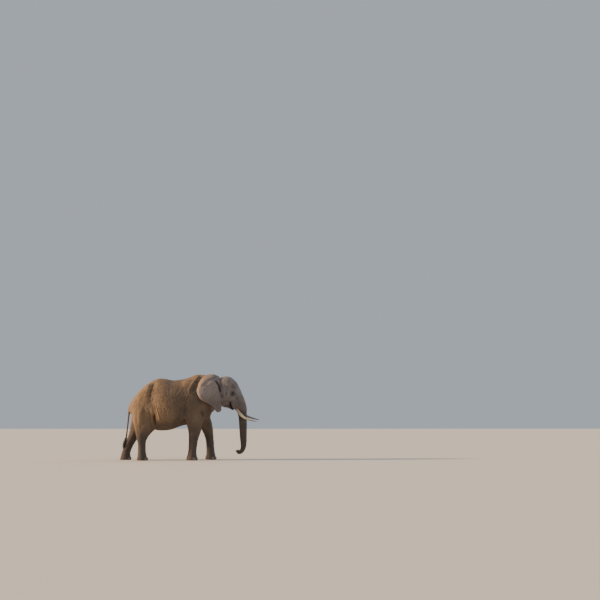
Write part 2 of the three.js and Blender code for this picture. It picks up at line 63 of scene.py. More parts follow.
# The body is shaped about a point of its midline, in millimetres: X forwards, Z up.
MIDLINE = np.array([-0.7, 0.9, 0.0])  # where that point lies in the model's frame
HEAD_TURN = math.radians(6)  # the head looks this far to its right
NECK = np.array([650.0, 0.0, 0.0])  # about an upright axis here

NODES = sorted(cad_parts)
NAILS, TUSKS, EYES = ([n for n in NODES if kind in n] for kind in ("_nail_", "tusk_", "eye_"))
FLESH = [n for n in NODES if n not in NAILS + TUSKS + EYES + ["tail_tuft"]]
LEGS = ["foreleg_right", "foreleg_left", "hindleg_right", "hindleg_left"]

# ---------------------------------------------------------------- places, from the solids
EYE_CENTRE = (1578, 292, 2346)  # of the left one, in the head's own frame
EYE_RADIUS = 25
GAZE = (0.22, 0.97, -0.08)  # which way the left eye looks
LID_SLIT = (27, 12.5)  # half the opening between the lids, along and across
LID_DOME = EYE_RADIUS + 4.5  # the lids lie on this radius
LID_EDGE = 21  # out to this far from the eye's middle
TRUNK = [  # x, z down the trunk's middle, in the head's own frame
    (1862, 1860), (1871, 1700), (1894, 1540), (1906, 1320), (1916, 1030), (1928, 734), (1936, 570), (1926, 450),
    (1888, 345), (1828, 280), (1765, 268), (1722, 300), (1708, 352),
]
TUSK_LINE = [  # x, y, z, radius from the root to the tip, in the head's own frame
    (1625, 204, 1925, 50), (1697, 228, 1805, 53), (1784, 252, 1680, 52), (1878, 272, 1582, 48), (1985, 290, 1500, 42),
    (2110, 304, 1440, 34), (2250, 312, 1394, 24), (2350, 312, 1374, 15), (2420, 308, 1368, 6),
]
TUSK_TIP = 7.5  # its worn radius
TUSK_GROWN = {"left": (70, 1.07, 0.6), "right": (0, 1, 0.08)}  # how far each is raised, its share of length, and its soil, which on the left tusk is painted shade
TAIL_END = [(-2243, 950, 28), (-2258, 830, 26), (-2280, 720, 24), (-2302, 600, 21), (-2328, 490, 15), (-2345, 430, 8)]
LEG_LINES = {  # x, how far out, z down each leg's middle
    "foreleg_right": [(188, 335, 1040), (168, 325, 880), (132, 308, 540), (106, 300, 216), (104, 300, 0)],
    "foreleg_left": [(620, 335, 1050), (672, 325, 880), (726, 308, 540), (746, 300, 216), (752, 300, 0)],
    "hindleg_right": [(-1590, 345, 1070), (-1640, 338, 900), (-1672, 320, 620), (-1656, 304, 300), (-1640, 300, 0)],
    "hindleg_left": [(-1890, 345, 1080), (-1975, 338, 920), (-2142, 320, 640), (-2280, 304, 300), (-2302, 300, 0)],
}
EAR_EDGE = [(1050, 2965), (905, 3062), (690, 3040), (500, 2940), (345, 2750), (272, 2530), (292, 2370), (385, 2185),
            (505, 2070), (680, 1985), (860, 1875), (990, 1722), (1105, 1662), (1184, 1748), (1176, 1950), (1140, 2150)]
EAR_SLIT = [(940, 2800), (965, 2775), (1010, 2710), (1054, 2640), (1086, 2545), (1122, 2430)]  # it lies in shadow
EAR_HEART, EAR_ROOT = (760, 2480), (1150, 3150)  # the margin spreads from the first, pleats fan out from the second
SHEATH = [(0.0, 88), (0.45, 80), (0.8, 68), (1.0, 58)]  # the skin's collar down each tusk's first length
JOWL = [(1100, 245, 2160, 118), (1210, 236, 2100, 118), (1320, 208, 2050, 100), (1405, 168, 2010, 74),
        (1450, 140, 1985, 52)]
SOLE = 6 * MM  # what is lower than this is pressed flat on the floor
TUFT_END = 404  # no tail hair hangs lower
MAP_PATCH = 0.003  # each hair's own square of the bake's map

# 31 m off the right side and 1.27 m up, looking a little upwards
CAMERA_PLACE = (1.863, -30.550, 1.270)
CAMERA_HEADING, CAMERA_PITCH = math.radians(86.06), math.radians(8.47)
CAMERA_LENS = (50, 36)  # focal length and sensor width in mm


def colour(code):
    """A hex colour as people write it, in the linear values that shaders take."""
    channels = [int(code[i : i + 2], 16) / 255 for i in (1, 3, 5)]
    return tuple(c / 12.92 if c <= 0.04045 else ((c + 0.055) / 1.055) ** 2.4 for c in channels) + (1.0,)


# ---------------------------------------------------------------- frames
def turned(points, angle):
    """Points turned about the neck's upright axis."""
    points = np.atleast_2d(points).astype(float)
    x, y = points[:, 0] - NECK[0], points[:, 1]
    c, s = math.cos(angle), math.sin(angle)
    return np.stack([NECK[0] + x * c - y * s, x * s + y * c, points[:, 2]], axis=1)


def to_model(points):
    """Points in the body's frame, in metres in the model's frame."""
    return (np.atleast_2d(points) + MIDLINE) * MM


def head_to_model(points):
    """Points in the head's own frame, in metres in the model's frame."""
    return to_model(turned(points, -HEAD_TURN))


def rod_rows(rows, place):
    """Rows of x, y, z and radius in millimetres, as a rod in the model's frame takes them."""
    rows = np.array(rows, float)
    return np.column_stack([place(rows[:, :3]), rows[:, 3] * MM])


# ---------------------------------------------------------------- noise, lines and soft edges
def noise(points, seed):
    """Smooth noise between -1 and 1 at points that are given in grains."""
    cell = np.floor(points).astype(np.int64)
    part = points - cell
    ease = part * part * (3 - 2 * part)
    total = np.zeros(len(points))
    for corner in itertools.product((0, 1), repeat=3):
        key = (cell + corner) @ np.array([374761393, 668265263, 1440662683]) + seed * 1274126177
        key = (key ^ (key >> 13)) & 0xFFFFFFFF
        key = (key * 1103515245 + 12345) & 0xFFFFFFFF
        key = (key ^ (key >> 16)) & 0xFFFF
        weight = np.prod(np.where(np.array(corner, bool), ease, 1 - ease), axis=1)
        total += weight * (key / 32767.5 - 1)
    return total


def creases(points, seed, width):
    """1 along winding lines and 0 away from them."""
    return bump((noise(points, seed), 0, width))


def grains(*axes):
    """Points from a value or a number for each axis."""
    return np.stack(np.broadcast_arrays(*axes), axis=1).astype(float)


def smooth_line(points, steps=6):
    """A polyline through the points, rounded between them."""
    points = np.array(points, float)
    padded = np.vstack([2 * points[0] - points[1], points, 2 * points[-1] - points[-2]])
    t = np.linspace(0, 1, steps, endpoint=False)[:, None]
    spans = []
    for a, b, c, d in zip(padded, padded[1:], padded[2:], padded[3:]):
        spans.append(0.5 * (2 * b + (c - a) * t + (2 * a - 5 * b + 4 * c - d) * t**2 + (3 * b - a - 3 * c + d) * t**3))
    return np.vstack([*spans, points[-1:]])


def on_line(line, spots):
    """The places on a line at spots counted in its points."""
    return np.stack([np.interp(spots, np.arange(len(line)), axis) for axis in line.T], axis=1)


def along_line(points, line):
    """For each point its distance from a line, the side it lies on (in 2D) and how far along it is, from 0 to 1."""
    best = np.full(len(points), np.inf)
    side, along = np.zeros(len(points)), np.zeros(len(points))
    lengths = np.linalg.norm(np.diff(line, axis=0), axis=1)
    total, done = lengths.sum(), 0.0
    for a, b, length in zip(line, line[1:], lengths):
        way = (b - a) / max(length, 1e-9)
        t = np.clip((points - a) @ way, 0, length)
        off = points - a - t[:, None] * way
        distance = np.linalg.norm(off, axis=1)
        closer = distance < best
        best = np.where(closer, distance, best)
        along = np.where(closer, (done + t) / total, along)
        if points.shape[1] == 2:
            side = np.where(closer, np.sign(off @ np.array([-way[1], way[0]])), side)
        done += length
    return best, side, along


def unit(vectors):
    return vectors / np.linalg.norm(vectors, axis=-1, keepdims=True)


def step(value, low, high):
    """0 below low, 1 above high and eased between; the other way round where high is below low."""
    t = np.clip((value - low) / (high - low), 0, 1)
    return t * t * (3 - 2 * t)


def window(value, low, first, last, high):
    """1 from first to last, eased to 0 at low and high."""
    return step(value, low, first) * step(value, high, last)


def bump(*axes):
    """1 where each value is at its middle, fading over its reach. Each axis is a value, its middle and its reach."""
    total = 0
    for value, middle, reach in axes:
        total = total - ((value - middle) / reach) ** 2
    return np.exp(total)


def mound(points, middle, reach):
    """The same for a place that both sides of the body have."""
    return np.exp(-(((np.abs(points) - middle) / reach) ** 2).sum(1))


def wave(turns):
    return np.cos(2 * np.pi * turns)


def grooves(turns):
    """Narrow grooves, one a turn, with broad ridges between them."""
    return (0.5 + 0.5 * wave(turns)) ** 4


def share(value):
    return np.clip(value, 0, 1)


def wound(bearing, rest, reach=1.0):
    """Points on a circle by bearing, so that a pattern goes round without a seam, and the rest along its axis."""
    return grains(np.cos(bearing) * reach, np.sin(bearing) * reach, rest)


# ---------------------------------------------------------------- objects
def deselect():
    if bpy.context.object and bpy.context.object.mode != "OBJECT":
        bpy.ops.object.mode_set(mode="OBJECT")
    bpy.ops.object.select_all(action="DESELECT")


def pick(thing):
    deselect()
    thing.select_set(True)
    bpy.context.view_layer.objects.active = thing


def added(name, operator, **settings):
    """What an operator adds, with its name."""
    deselect()
    operator(**settings)
    thing = bpy.context.object
    thing.name = thing.data.name = name
    return thing


def modified(thing, kind, **settings):
    """Adds a modifier and applies it."""
    pick(thing)
    bpy.ops.object.modifier_add(type=kind)
    modifier = thing.modifiers[-1]
    for name, value in settings.items():
        setattr(modifier, name, value)
    bpy.ops.object.modifier_apply(modifier=modifier.name)


def new_thing(name, data):
    thing = bpy.data.objects.new(name, data)
    bpy.context.scene.collection.objects.link(thing)
    return thing


def finished(thing, material, slot, *nodes):
    """Gives a piece its one material, its body and the solids that it stands for; its slot is not used."""
    thing.data.materials.clear()
    thing.data.materials.append(material)
    pick(thing)
    bpy.ops.object.shade_smooth()
    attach(thing, BODY)
    if nodes:
        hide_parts(*nodes)


class Surface:
    """A mesh's corners as arrays, in metres, with the neighbours that smoothing needs."""

    def __init__(self, thing):
        self.mesh = mesh = thing.data
        self.places = self.read(mesh.vertices, "co", 3, np.float32).astype(float)
        ends = self.read(mesh.edges, "vertices", 2, np.int32)
        both = np.vstack([ends, ends[:, ::-1]])
        both = both[np.argsort(both[:, 0], kind="stable")]
        self.others = both[:, 1]
        self.starts = np.searchsorted(both[:, 0], np.arange(len(self.places)))
        self.counts = np.diff(np.append(self.starts, len(both)))
        self.write()

    @staticmethod
    def read(items, name, width, kind):
        values = np.empty(len(items) * width, kind)
        items.foreach_get(name, values)
        return values.reshape(-1, width)

    def write(self):
        """Puts the places in the mesh and reads its normals again."""
        self.mesh.vertices.foreach_set("co", self.places.astype(np.float32).ravel())
        self.mesh.update()
        self.normals = self.read(self.mesh.vertex_normals, "vector", 3, np.float32).astype(float)
        self.body = self.places / MM - MIDLINE
        self.head = turned(self.body, HEAD_TURN)

    def around(self, values):
        """The mean of each corner's neighbours."""
        sums = np.add.reduceat(values[self.others], self.starts, axis=0)
        return sums / (self.counts[:, None] if values.ndim > 1 else self.counts)

    def blurred(self, values, rounds, pull=0.6):
        """Values eased towards their neighbours' so many times; pull may differ from corner to corner."""
        pull = pull[:, None] if isinstance(pull, np.ndarray) and values.ndim > 1 else pull
        for _ in range(rounds):
            values = values + pull * (self.around(values) - values)
        return values

    def smooth(self, rounds, pull):
        self.places = self.blurred(self.places, rounds, pull)
        self.write()

    def relax(self, rounds, pull):
        """Rounds off the facets and gives back what that takes from the larger forms."""
        soft = self.blurred(self.places, rounds, pull)
        self.places = soft + self.blurred(self.places - soft, rounds, pull)
        self.write()

    def push(self, distance):
        """Moves each corner out along its normal, by millimetres, which it gives back."""
        self.places += self.normals * (distance * MM)[:, None]
        self.write()
        return distance

    def place_head(self, points):
        """Moves the corners to points in the head's own frame."""
        self.places = head_to_model(points)
        self.write()

    def keep(self, name, values):
        if name not in self.mesh.attributes:
            self.mesh.attributes.new(name, "FLOAT" if values.ndim == 1 else "FLOAT_VECTOR", "POINT")
        kind = "value" if values.ndim == 1 else "vector"
        self.mesh.attributes[name].data.foreach_set(kind, values.astype(np.float32).ravel())

    def kept(self, name):
        return self.read(self.mesh.attributes[name].data, "value", 1, np.float32)[:, 0].astype(float)


# ---------------------------------------------------------------- the hide's folds
# Each fold, under the part that it lies on: its width, its depth (less than 0 raises it), how much of a lip stands
# beside it, and its line in side view (X, Z). Legs that stride differently have folds of their own.
BODY_FOLDS = {
    "torso": [
        # shoulder blade
        (44, -32, 0, [(350, 3060), (262, 2950), (198, 2862), (135, 2775), (70, 2680), (8, 2570), (-25, 2440),
                      (-42, 2290)]),
        (50, 26, 0, [(285, 2820), (238, 2760), (195, 2680), (155, 2580), (115, 2450), (95, 2330)]),
        # before the hip bone
        (36, 30, 0, [(-1215, 2760), (-1320, 2640), (-1375, 2510), (-1398, 2398), (-1410, 2274), (-1400, 2130)]),
        (60, -16, 0, [(-1330, 2820), (-1430, 2680), (-1475, 2540), (-1495, 2390)]),
        # flank
        (23, -26, 0, [(-1212, 2010), (-1184, 1937), (-1138, 1797), (-1085, 1622), (-1035, 1441), (-1010, 1370)]),
        (22, -24, 0, [(-1155, 2010), (-1128, 1937), (-1079, 1797), (-1023, 1639), (-962, 1455)]),
        (23, -20, 0, [(-1100, 2010), (-1072, 1937), (-1012, 1762), (-955, 1605), (-905, 1413)]),
        (22, -11, 0, [(-1035, 1950), (-1007, 1867), (-947, 1709), (-873, 1517)]),
        (20, -8, 0, [(-960, 1900), (-890, 1740), (-815, 1600)]),
        (12, 9, 0, [(-1158, 1960), (-1108, 1797), (-1054, 1630), (-1000, 1450)]),
        (12, 8, 0, [(-1100, 1960), (-1045, 1790), (-990, 1620), (-935, 1440)]),
        (12, 6, 0, [(-1036, 1920), (-980, 1740), (-915, 1560)]),
        (26, 15, 0.2, [(-1270, 2120), (-1226, 1960), (-1185, 1800), (-1135, 1600), (-1085, 1430)]),
        (30, 6, 0.2, [(-1120, 2150), (-1010, 1990), (-900, 1860), (-790, 1760)]),
        (48, 20, 0.3, [(-1395, 1800), (-1385, 1600), (-1350, 1400), (-1300, 1200), (-1250, 1090)]),  # thigh and belly
        (34, 15, 0.4, [(-110, 2200), (-150, 1980), (-180, 1760), (-200, 1560), (-195, 1380), (-165, 1290)]),  # elbow
        (28, 8, 0.4, [(-190, 2160), (-250, 1920), (-285, 1700), (-300, 1500)]),
        (28, 6, 0.4, [(-280, 2060), (-350, 1820), (-385, 1640), (-395, 1450)]),
        (20, 12, 0.6, [(-5, 2380), (-36, 2291), (-90, 2133), (-143, 1992), (-196, 1841), (-242, 1679), (-260, 1536)]),
        (20, 10, 0.6, [(-100, 2330), (-134, 2242), (-181, 2115), (-241, 1953), (-287, 1798), (-305, 1658)]),
        (20, 5, 0.5, [(-190, 2360), (-220, 2284), (-287, 2143), (-369, 2030), (-450, 1950)]),
        (20, 9, 0.6, [(20, 2200), (-5, 2115), (-65, 1953), (-118, 1799), (-154, 1672)]),
        (22, 3.5, 0.5, [(-250, 2480), (-310, 2350), (-390, 2220), (-480, 2110)]),
        (24, 3.5, 0.5, [(-340, 2560), (-420, 2420), (-520, 2290), (-620, 2190)]),
        (36, 11, 0.3, [(470, 2000), (430, 1850), (425, 1700), (450, 1560)]),  # before the shoulder
        (32, 9, 0.3, [(560, 1960), (530, 1830), (530, 1700)]),
        (24, 6, 0.4, [(-600, 1190), (-450, 1215), (-300, 1260)]),  # belly
        (24, 6, 0.4, [(-1080, 1110), (-880, 1130), (-700, 1150)]),
    ],
    "neck": [
        (34, 9, 0.4, [(640, 2960), (610, 2700), (620, 2450), (660, 2250)]),
        (26, 10, 0.5, [(770, 2020), (745, 1940), (750, 1850)]),
        (26, 9, 0.5, [(870, 2060), (860, 1970), (880, 1880)]),
        (24, 9, 0.5, [(960, 2080), (965, 1990), (1000, 1910)]),
    ],
}
NEAR_FOLDS = [  # on the right side only, where the fore- and hindleg stand well back and under
    (52, 17, 0.2, [(-1570, 1950), (-1605, 1720), (-1612, 1520), (-1590, 1320), (-1560, 1160)]),  # thigh
    (50, -12, 0, [(-1690, 1850), (-1735, 1600), (-1730, 1400), (-1700, 1200)]),
    (36, 9, 0.3, [(-1480, 1720), (-1470, 1500), (-1450, 1330), (-1440, 1180)]),
    (34, 8, 0.3, [(-1400, 1560), (-1390, 1400), (-1390, 1260)]),
    (36, 9, 0.3, [(-1830, 1800), (-1860, 1580), (-1850, 1400), (-1800, 1230)]),
    (30, 7, 0.3, [(-1900, 1760), (-1930, 1600), (-1920, 1440)]),
    (34, 12, 0.4, [(-60, 1440), (0, 1330), (60, 1200), (90, 1080)]),  # elbow
    (46, -10, 0, [(330, 1560), (330, 1380), (300, 1200), (265, 1020), (245, 880)]),
    (40, 9, 0.2, [(215, 1480), (225, 1300), (215, 1120), (185, 960)]),
    (28, 7, 0.3, [(60, 960), (40, 830), (20, 700), (15, 560)]),
    (28, -7, 0, [(190, 780), (170, 640), (150, 500), (140, 380)]),
]
FAR_FOLDS = [
    (50, 17, 0.2, [(-1760, 1850), (-1800, 1680), (-1850, 1500), (-1900, 1330), (-1950, 1180)]),
    (36, 10, 0.3, [(-1620, 1700), (-1640, 1540), (-1680, 1380), (-1720, 1220)]),
    (34, 9, 0.3, [(-1960, 1700), (-2010, 1540), (-2040, 1380), (-2060, 1220)]),
    (34, 12, 0.4, [(160, 1480), (260, 1360), (360, 1230), (420, 1100)]),
    (46, -9, 0, [(640, 1560), (690, 1400), (710, 1230), (715, 1050), (720, 900)]),
    (40, 9, 0.2, [(470, 1500), (540, 1320), (590, 1140), (620, 980)]),
    (28, 7, 0.3, [(560, 940), (590, 800), (620, 660), (640, 540)]),
]
HEAD_FOLDS = {  # in the head's own frame
    "head": [
        (14, 34, 0.35, [(1430, 2085), (1453, 2017), (1478, 1940), (1512, 1860), (1552, 1800), (1585, 1770)]),  # mouth
        (16, 14, 0.5, [(1452, 2060), (1432, 2100), (1420, 2140)]),
        (16, 9, 0.5, [(1440, 2060), (1390, 2060), (1340, 2085), (1305, 2130)]),
        (16, 9, 0.5, [(1430, 2000), (1370, 1990), (1300, 2010), (1240, 2055)]),
        (14, 6, 0.5, [(1400, 1940), (1330, 1930), (1260, 1950), (1210, 1990)]),
        (14, 5, 0.5, [(1360, 2150), (1310, 2120), (1260, 2080), (1220, 2020)]),
        (18, 7, 0.4, [(1500, 2120), (1510, 2030), (1545, 1940), (1600, 1860)]),  # lip and tusk sheath
        # tusk sheath and trunk
        (42, 20, 0.15, [(1720, 2290), (1742, 2180), (1765, 2070), (1785, 1960), (1792, 1850)]),
        (62, -15, 0, [(1600, 2180), (1640, 2070), (1665, 1960), (1690, 1860)]),
        (18, 7, 0.4, [(1500, 2200), (1530, 2140), (1540, 2080)]),
        (20, 11, 0.5, [(1440, 2250), (1465, 2180), (1470, 2110)]),
        (20, 9, 0.5, [(1390, 2250), (1398, 2170), (1392, 2090)]),
        (15, 6, 0.5, [(1344, 2420), (1336, 2360), (1332, 2290), (1338, 2220)]),  # the gland between eye and ear
        (18, 9, 0.4, [(1335, 2240), (1340, 2160), (1360, 2080)]),
        (34, 14, 0.3, [(1240, 2540), (1210, 2400), (1205, 2270), (1225, 2130)]),  # cheek and ear
        (20, 5, 0.4, [(1290, 2400), (1270, 2300), (1275, 2200)]),
        (28, 7, 0.3, [(1250, 2760), (1290, 2660), (1330, 2570)]),
        (62, -13, 0, [(1400, 2740), (1440, 2640), (1480, 2540), (1510, 2450)]),  # the pale ridge over the cheek
        (44, 8, 0, [(1500, 2760), (1560, 2650), (1620, 2540), (1660, 2440)]),
        (20, 9, 0.5, [(1480, 2520), (1540, 2470), (1610, 2440), (1670, 2400)]),  # brow
        (16, 5, 0.5, [(1440, 2620), (1500, 2560), (1570, 2520), (1640, 2500)]),
        (18, 7, 0.5, [(1420, 2300), (1470, 2262), (1540, 2240), (1610, 2246)]),  # under the eye
        (18, 6, 0.5, [(1400, 2260), (1450, 2200), (1530, 2170), (1610, 2180)]),
        (26, 8, 0.3, [(1660, 2400), (1690, 2300), (1700, 2190), (1690, 2090)]),
        (18, 4, 0.4, [(1510, 2580), (1580, 2530), (1650, 2490)]),
    ],
    "ear": [
        # the slit
        (28, 38, 0.2, [(925, 2830), (965, 2775), (1010, 2710), (1054, 2640), (1086, 2545), (1112, 2450),
                       (1134, 2350)]),
        (40, -10, 0, [(880, 2830), (940, 2730), (990, 2620), (1028, 2500), (1050, 2380)]),
        (22, -5, 0, [(1130, 2330), (1140, 2200), (1150, 2050), (1150, 1900)]),
    ],
}
EAR_VEINS = [
    [(1060, 2560), (960, 2600), (850, 2660), (740, 2760), (650, 2880)],
    [(860, 2655), (760, 2660), (650, 2640), (540, 2660), (440, 2640)],
    [(1050, 2520), (930, 2500), (800, 2500), (680, 2440), (560, 2420), (430, 2380)],
    [(810, 2500), (700, 2540), (590, 2540), (480, 2500)],
    [(1055, 2480), (960, 2400), (860, 2330), (760, 2250), (650, 2180)],
    [(870, 2340), (800, 2360), (700, 2330), (600, 2260)],
    [(1070, 2440), (1020, 2330), (960, 2210), (890, 2100), (820, 2010)],
    [(1080, 2400), (1075, 2270), (1050, 2130), (1020, 1990), (1000, 1860)],
    [(1100, 2300), (1110, 2170), (1105, 2040), (1085, 1900)],
    [(1040, 2640), (980, 2740), (900, 2850), (830, 2950)],
]


def folded(flat, weight, width, depth, lip, line):
    """How far a fold pushes each corner out: a groove, with a lip beside it, that fades at its ends."""
    line = smooth_line(line)
    low, high = line.min(0) - 4 * width, line.max(0) + 4 * width
    near = ((flat > low) & (flat < high)).all(axis=1) & (weight > 0.01)
    shift = np.zeros(len(flat))
    if not near.any():
        return shift
    spread = flat[near]
    # the line wanders a little, as skin does
    wander = 0.35 * width * noise(np.column_stack([spread / (4.0 * width), np.full(len(spread), width)]), 5)
    distance, side, along = along_line(spread, line)
    ends = window(along, 0.0, 0.22, 0.78, 1.0)
    distance = (side * distance + wander) / (width * (0.45 + 0.55 * ends))
    profile = -bump((distance, 0, 1)) + lip * bump((np.abs(distance), 1.7, 1)) * (0.6 + 0.4 * np.sign(distance))
    shift[near] = depth * profile * ends * weight[near]
    return shift


def parts_of(skin):
    """Which solid each corner of the hide lies nearest to."""
    corners, faces, owner = [], [], []
    for i, node in enumerate(FLESH):
        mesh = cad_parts[node].data
        faces += [[len(corners) + v for v in polygon.vertices] for polygon in mesh.polygons]
        owner += [i] * len(mesh.polygons)
        corners += [v.co.copy() for v in mesh.vertices]
    tree = BVHTree.FromPolygons(corners, faces)
    nearest = [tree.find_nearest(Vector(p))[2] for p in skin.places]
    return np.array(owner)[nearest]


def masks_of(skin):
    """Soft masks of the body's parts, from 0 to 1."""
    owner = parts_of(skin)
    masks = {}
    # name, how many times its edge is eased, and how the names of its solids start
    for name, rounds, *starts in (
        ("head", 6, "head", "lower_jaw", "trunk_base"),
        ("jaw", 2, "lower_jaw"),
        ("ear", 2, "ear_"),
        ("trunk", 8, "trunk_"),
        ("neck", 10, "neck"),
        ("torso", 8, "shoulders", "barrel", "hindquarters", "foreleg", "hindleg"),
        ("tail", 6, "tail_"),
        *((leg, 14, leg) for leg in LEGS),
    ):
        chosen = [i for i, node in enumerate(FLESH) if node.startswith(tuple(starts))]
        masks[name] = skin.blurred(np.isin(owner, chosen).astype(float), rounds)
    masks["leg"] = sum(masks[leg] for leg in LEGS)
    return masks


def sided(skin, side):
    """1 where the hide faces out on one side of the body, and 0 where it faces in."""
    return step(skin.normals[:, 1] * side, 0.05, 0.5) * (skin.body[:, 1] * side > -60)


def fold_body(skin, masks):
    """Folds of shoulder, flank, belly, thigh and neck on both sides, and of each side's own legs."""
    flat = skin.body[:, [0, 2]]
    shift = np.zeros(len(flat))
    for side, legs in ((SIDES["right"], NEAR_FOLDS), (SIDES["left"], FAR_FOLDS)):
        faces = sided(skin, side)
        for part, folds in [*BODY_FOLDS.items(), ("leg", legs)]:
            for fold in folds:
                shift += folded(flat, masks[part] * faces, *fold)
    return skin.push(shift)


def fold_head(skin, masks):
    """Folds of the head, and then of the ears, which follow them."""
    cupped = np.zeros(len(skin.places))
    weights = {"head": masks["head"], "ear": masks["head"] + masks["neck"] + masks["ear"]}
    for part, folds in HEAD_FOLDS.items():
        flat = skin.head[:, [0, 2]]
        shift = np.zeros(len(flat))
        for side in SIDES.values():
            faces = sided(skin, side)
            for fold in folds:
                shift += folded(flat, np.minimum(weights[part], 1) * faces, *fold)
        cupped += skin.push(shift)
    return cupped


def shape_ears(skin, masks):
    """A margin turned in, a rolled rim, veins that branch from the root, and pleats that fan down to the lobe."""
    flat = skin.head[:, [0, 2]]
    shift, inward, spread = np.zeros(len(flat)), np.zeros(len(flat)), np.zeros(flat.shape)
    distance, _, along = along_line(flat, smooth_line(EAR_EDGE))
    rolled = window(along, 0.02, 0.15, 0.5, 0.75)
    # how wide the turned-in band is from the ear's top round to its lobe, and how steeply it turns
    band = np.interp(along, [0.03, 0.14, 0.36, 0.46, 0.6], [50, 140, 150, 95, 60])
    steep = np.interp(along, [0.36, 0.5], [0.9, 0.45])
    off = flat - EAR_ROOT
    reach, bearing = np.hypot(*off.T), np.arctan2(off[:, 0], -off[:, 1])
    outwards = unit(flat - EAR_HEART)
    for side in SIDES.values():
        blade = masks["ear"] * step(masks["ear"], 0.3, 0.7) * (skin.body[:, 1] * side > 0)
        inward += blade * rolled * share(1 - distance / band) ** 1.2 * steep * band * side
        fuller = 58 * blade * bump((along, 0.2, 0.075)) * share(1 - distance / 260)
        spread += fuller[:, None] * outwards
        faces = sided(skin, side) * masks["ear"]
        shift += faces * rolled * (6 * bump((distance, 16, 14)) - 3 * bump((distance, 128, 26)))
        for line in EAR_VEINS:
            shift += folded(flat, faces, 12, -6.5, 0, line)
        broad = grains(bearing * 9, reach / 420, 3.0 + side)
        finer = grains(bearing * 24, reach / 300, 7.0 + side)
        shift += faces * 11 * noise(broad, 21) * step(distance, 20, 110)
        shift += faces * 3.2 * noise(finer, 22) * step(distance, 10, 60)
        shift -= faces * 6 * creases(finer * [0.55, 0.6, 1], 23, 0.14) * step(distance, 20, 90)
    skin.place_head(skin.head + grains(spread[:, 0], -inward, spread[:, 1]))
    return np.minimum(skin.push(shift), 0)


def trunk_frame(skin):
    """For each corner, how far down the trunk it lies in millimetres and its bearing round it; 0 is the front."""
    line = smooth_line([(x, 0, z) for x, z in TRUNK], 4)
    _, _, along = along_line(skin.head, line)
    spots = along * (len(line) - 1)
    whole = np.clip(spots.astype(int), 0, len(line) - 2)
    way = unit(line[whole + 1] - line[whole])
    off = skin.head - on_line(line, spots)
    forwards = (off * grains(-way[:, 2], 0, way[:, 0])).sum(1)
    return along * np.linalg.norm(np.diff(line, axis=0), axis=1).sum(), np.arctan2(off[:, 1], forwards)


def ring_trunk(skin, masks):
    """Creases that run part of the way round the trunk, deep in front and closer together towards the tip."""
    down, bearing = trunk_frame(skin)
    _, y, z = skin.head.T
    front = 0.5 + 0.5 * np.cos(bearing)
    steps = np.linspace(0, 2200, 600)
    spacing = np.interp(steps[1:], [0, 400, 1100, 1700], [62, 50, 38, 28])
    turns = np.concatenate([[0], np.cumsum(np.diff(steps) / spacing)])
    spots = wound(bearing, down / 130, 1.3)
    phase = np.interp(down, steps, turns) + 0.55 * noise(spots, 31) + 0.16 * np.cos(2 * bearing)
    depth = np.interp(down, [0, 500, 1300, 1700, 1950], [6.5, 6, 4.5, 3.2, 2]) * (0.45 + 0.55 * front)
    depth *= 0.55 + 0.6 * share(noise(spots * [2.4, 2.4, 1.2], 32) + 0.5)
    shift = -masks["trunk"] * depth * grooves(phase) * step(z, 1930, 1560)
    # fainter rows cross the face above them
    face = share(masks["head"] - masks["jaw"] - masks["ear"]) * step(skin.normals[:, 0], -0.1, 0.6)
    level = grains(y / 150, z / 130, 2.0)
    rows = z / 66 + 0.8 * noise(level, 35) + 0.0009 * y**2 / 60
    across = face * window(z, 1600, 1850, 2250, 2700)
    shift -= across * 5.5 * grooves(rows) * (0.4 + share(noise(level * 2, 36) + 0.5))
    # hollow temples over the eyes, and a brow that stands out in front of them
    shift -= 20 * masks["head"] * mound(skin.head, [1520, 250, 2570], [110, 110, 120])
    shift += 13 * masks["head"] * mound(skin.head, [1700, 235, 2440], [80, 60, 70])
    # two edges run down the back of the trunk, with a flat between them
    shift += masks["trunk"] * 7 * bump((np.abs(bearing), 2.3, 0.3)) * step(down, 60, 350)
    return skin.push(shift)


def shape_trunk_tip(skin, masks):
    """Two nostrils between a longer finger in front and a shorter one behind."""
    before, end = (np.array([x, 0.0, z]) for x, z in TRUNK[-2:])
    way = unit(end - before)
    off = skin.head - end
    depth, up, across = off @ way, off @ [-way[2], 0.0, way[0]], off[:, 1]
    near = masks["trunk"] * step(depth, -60, -8) * step(np.hypot(up, across), 95, 75)
    shift = 26 * bump((up, 48, 20), (across, 0, 20))
    shift += 20 * bump((up, -46, 20), (across, 0, 26))
    shift -= 12 * bump((up, 0, 34), (across, 0, 50))
    for side in SIDES.values():
        shift -= 34 * bump((up, 4, 17), (across, side * 23, 12))
    skin.place_head(skin.head + (near * shift)[:, None] * way)
    return near * np.minimum(shift, 0)


def leg_line(leg):
    """The line down a leg's middle, from the sole up."""
    return np.array(LEG_LINES[leg][::-1], float) * [1, SIDES[leg.split("_")[1]], 1]


def leg_bearing(skin, leg):
    """The bearing of each corner round a leg, 0 in front."""
    middle_x, middle_y, heights = leg_line(leg).T
    x, y, z = skin.body.T
    return np.arctan2(y - np.interp(z, heights, middle_y), x - np.interp(z, heights, middle_x))


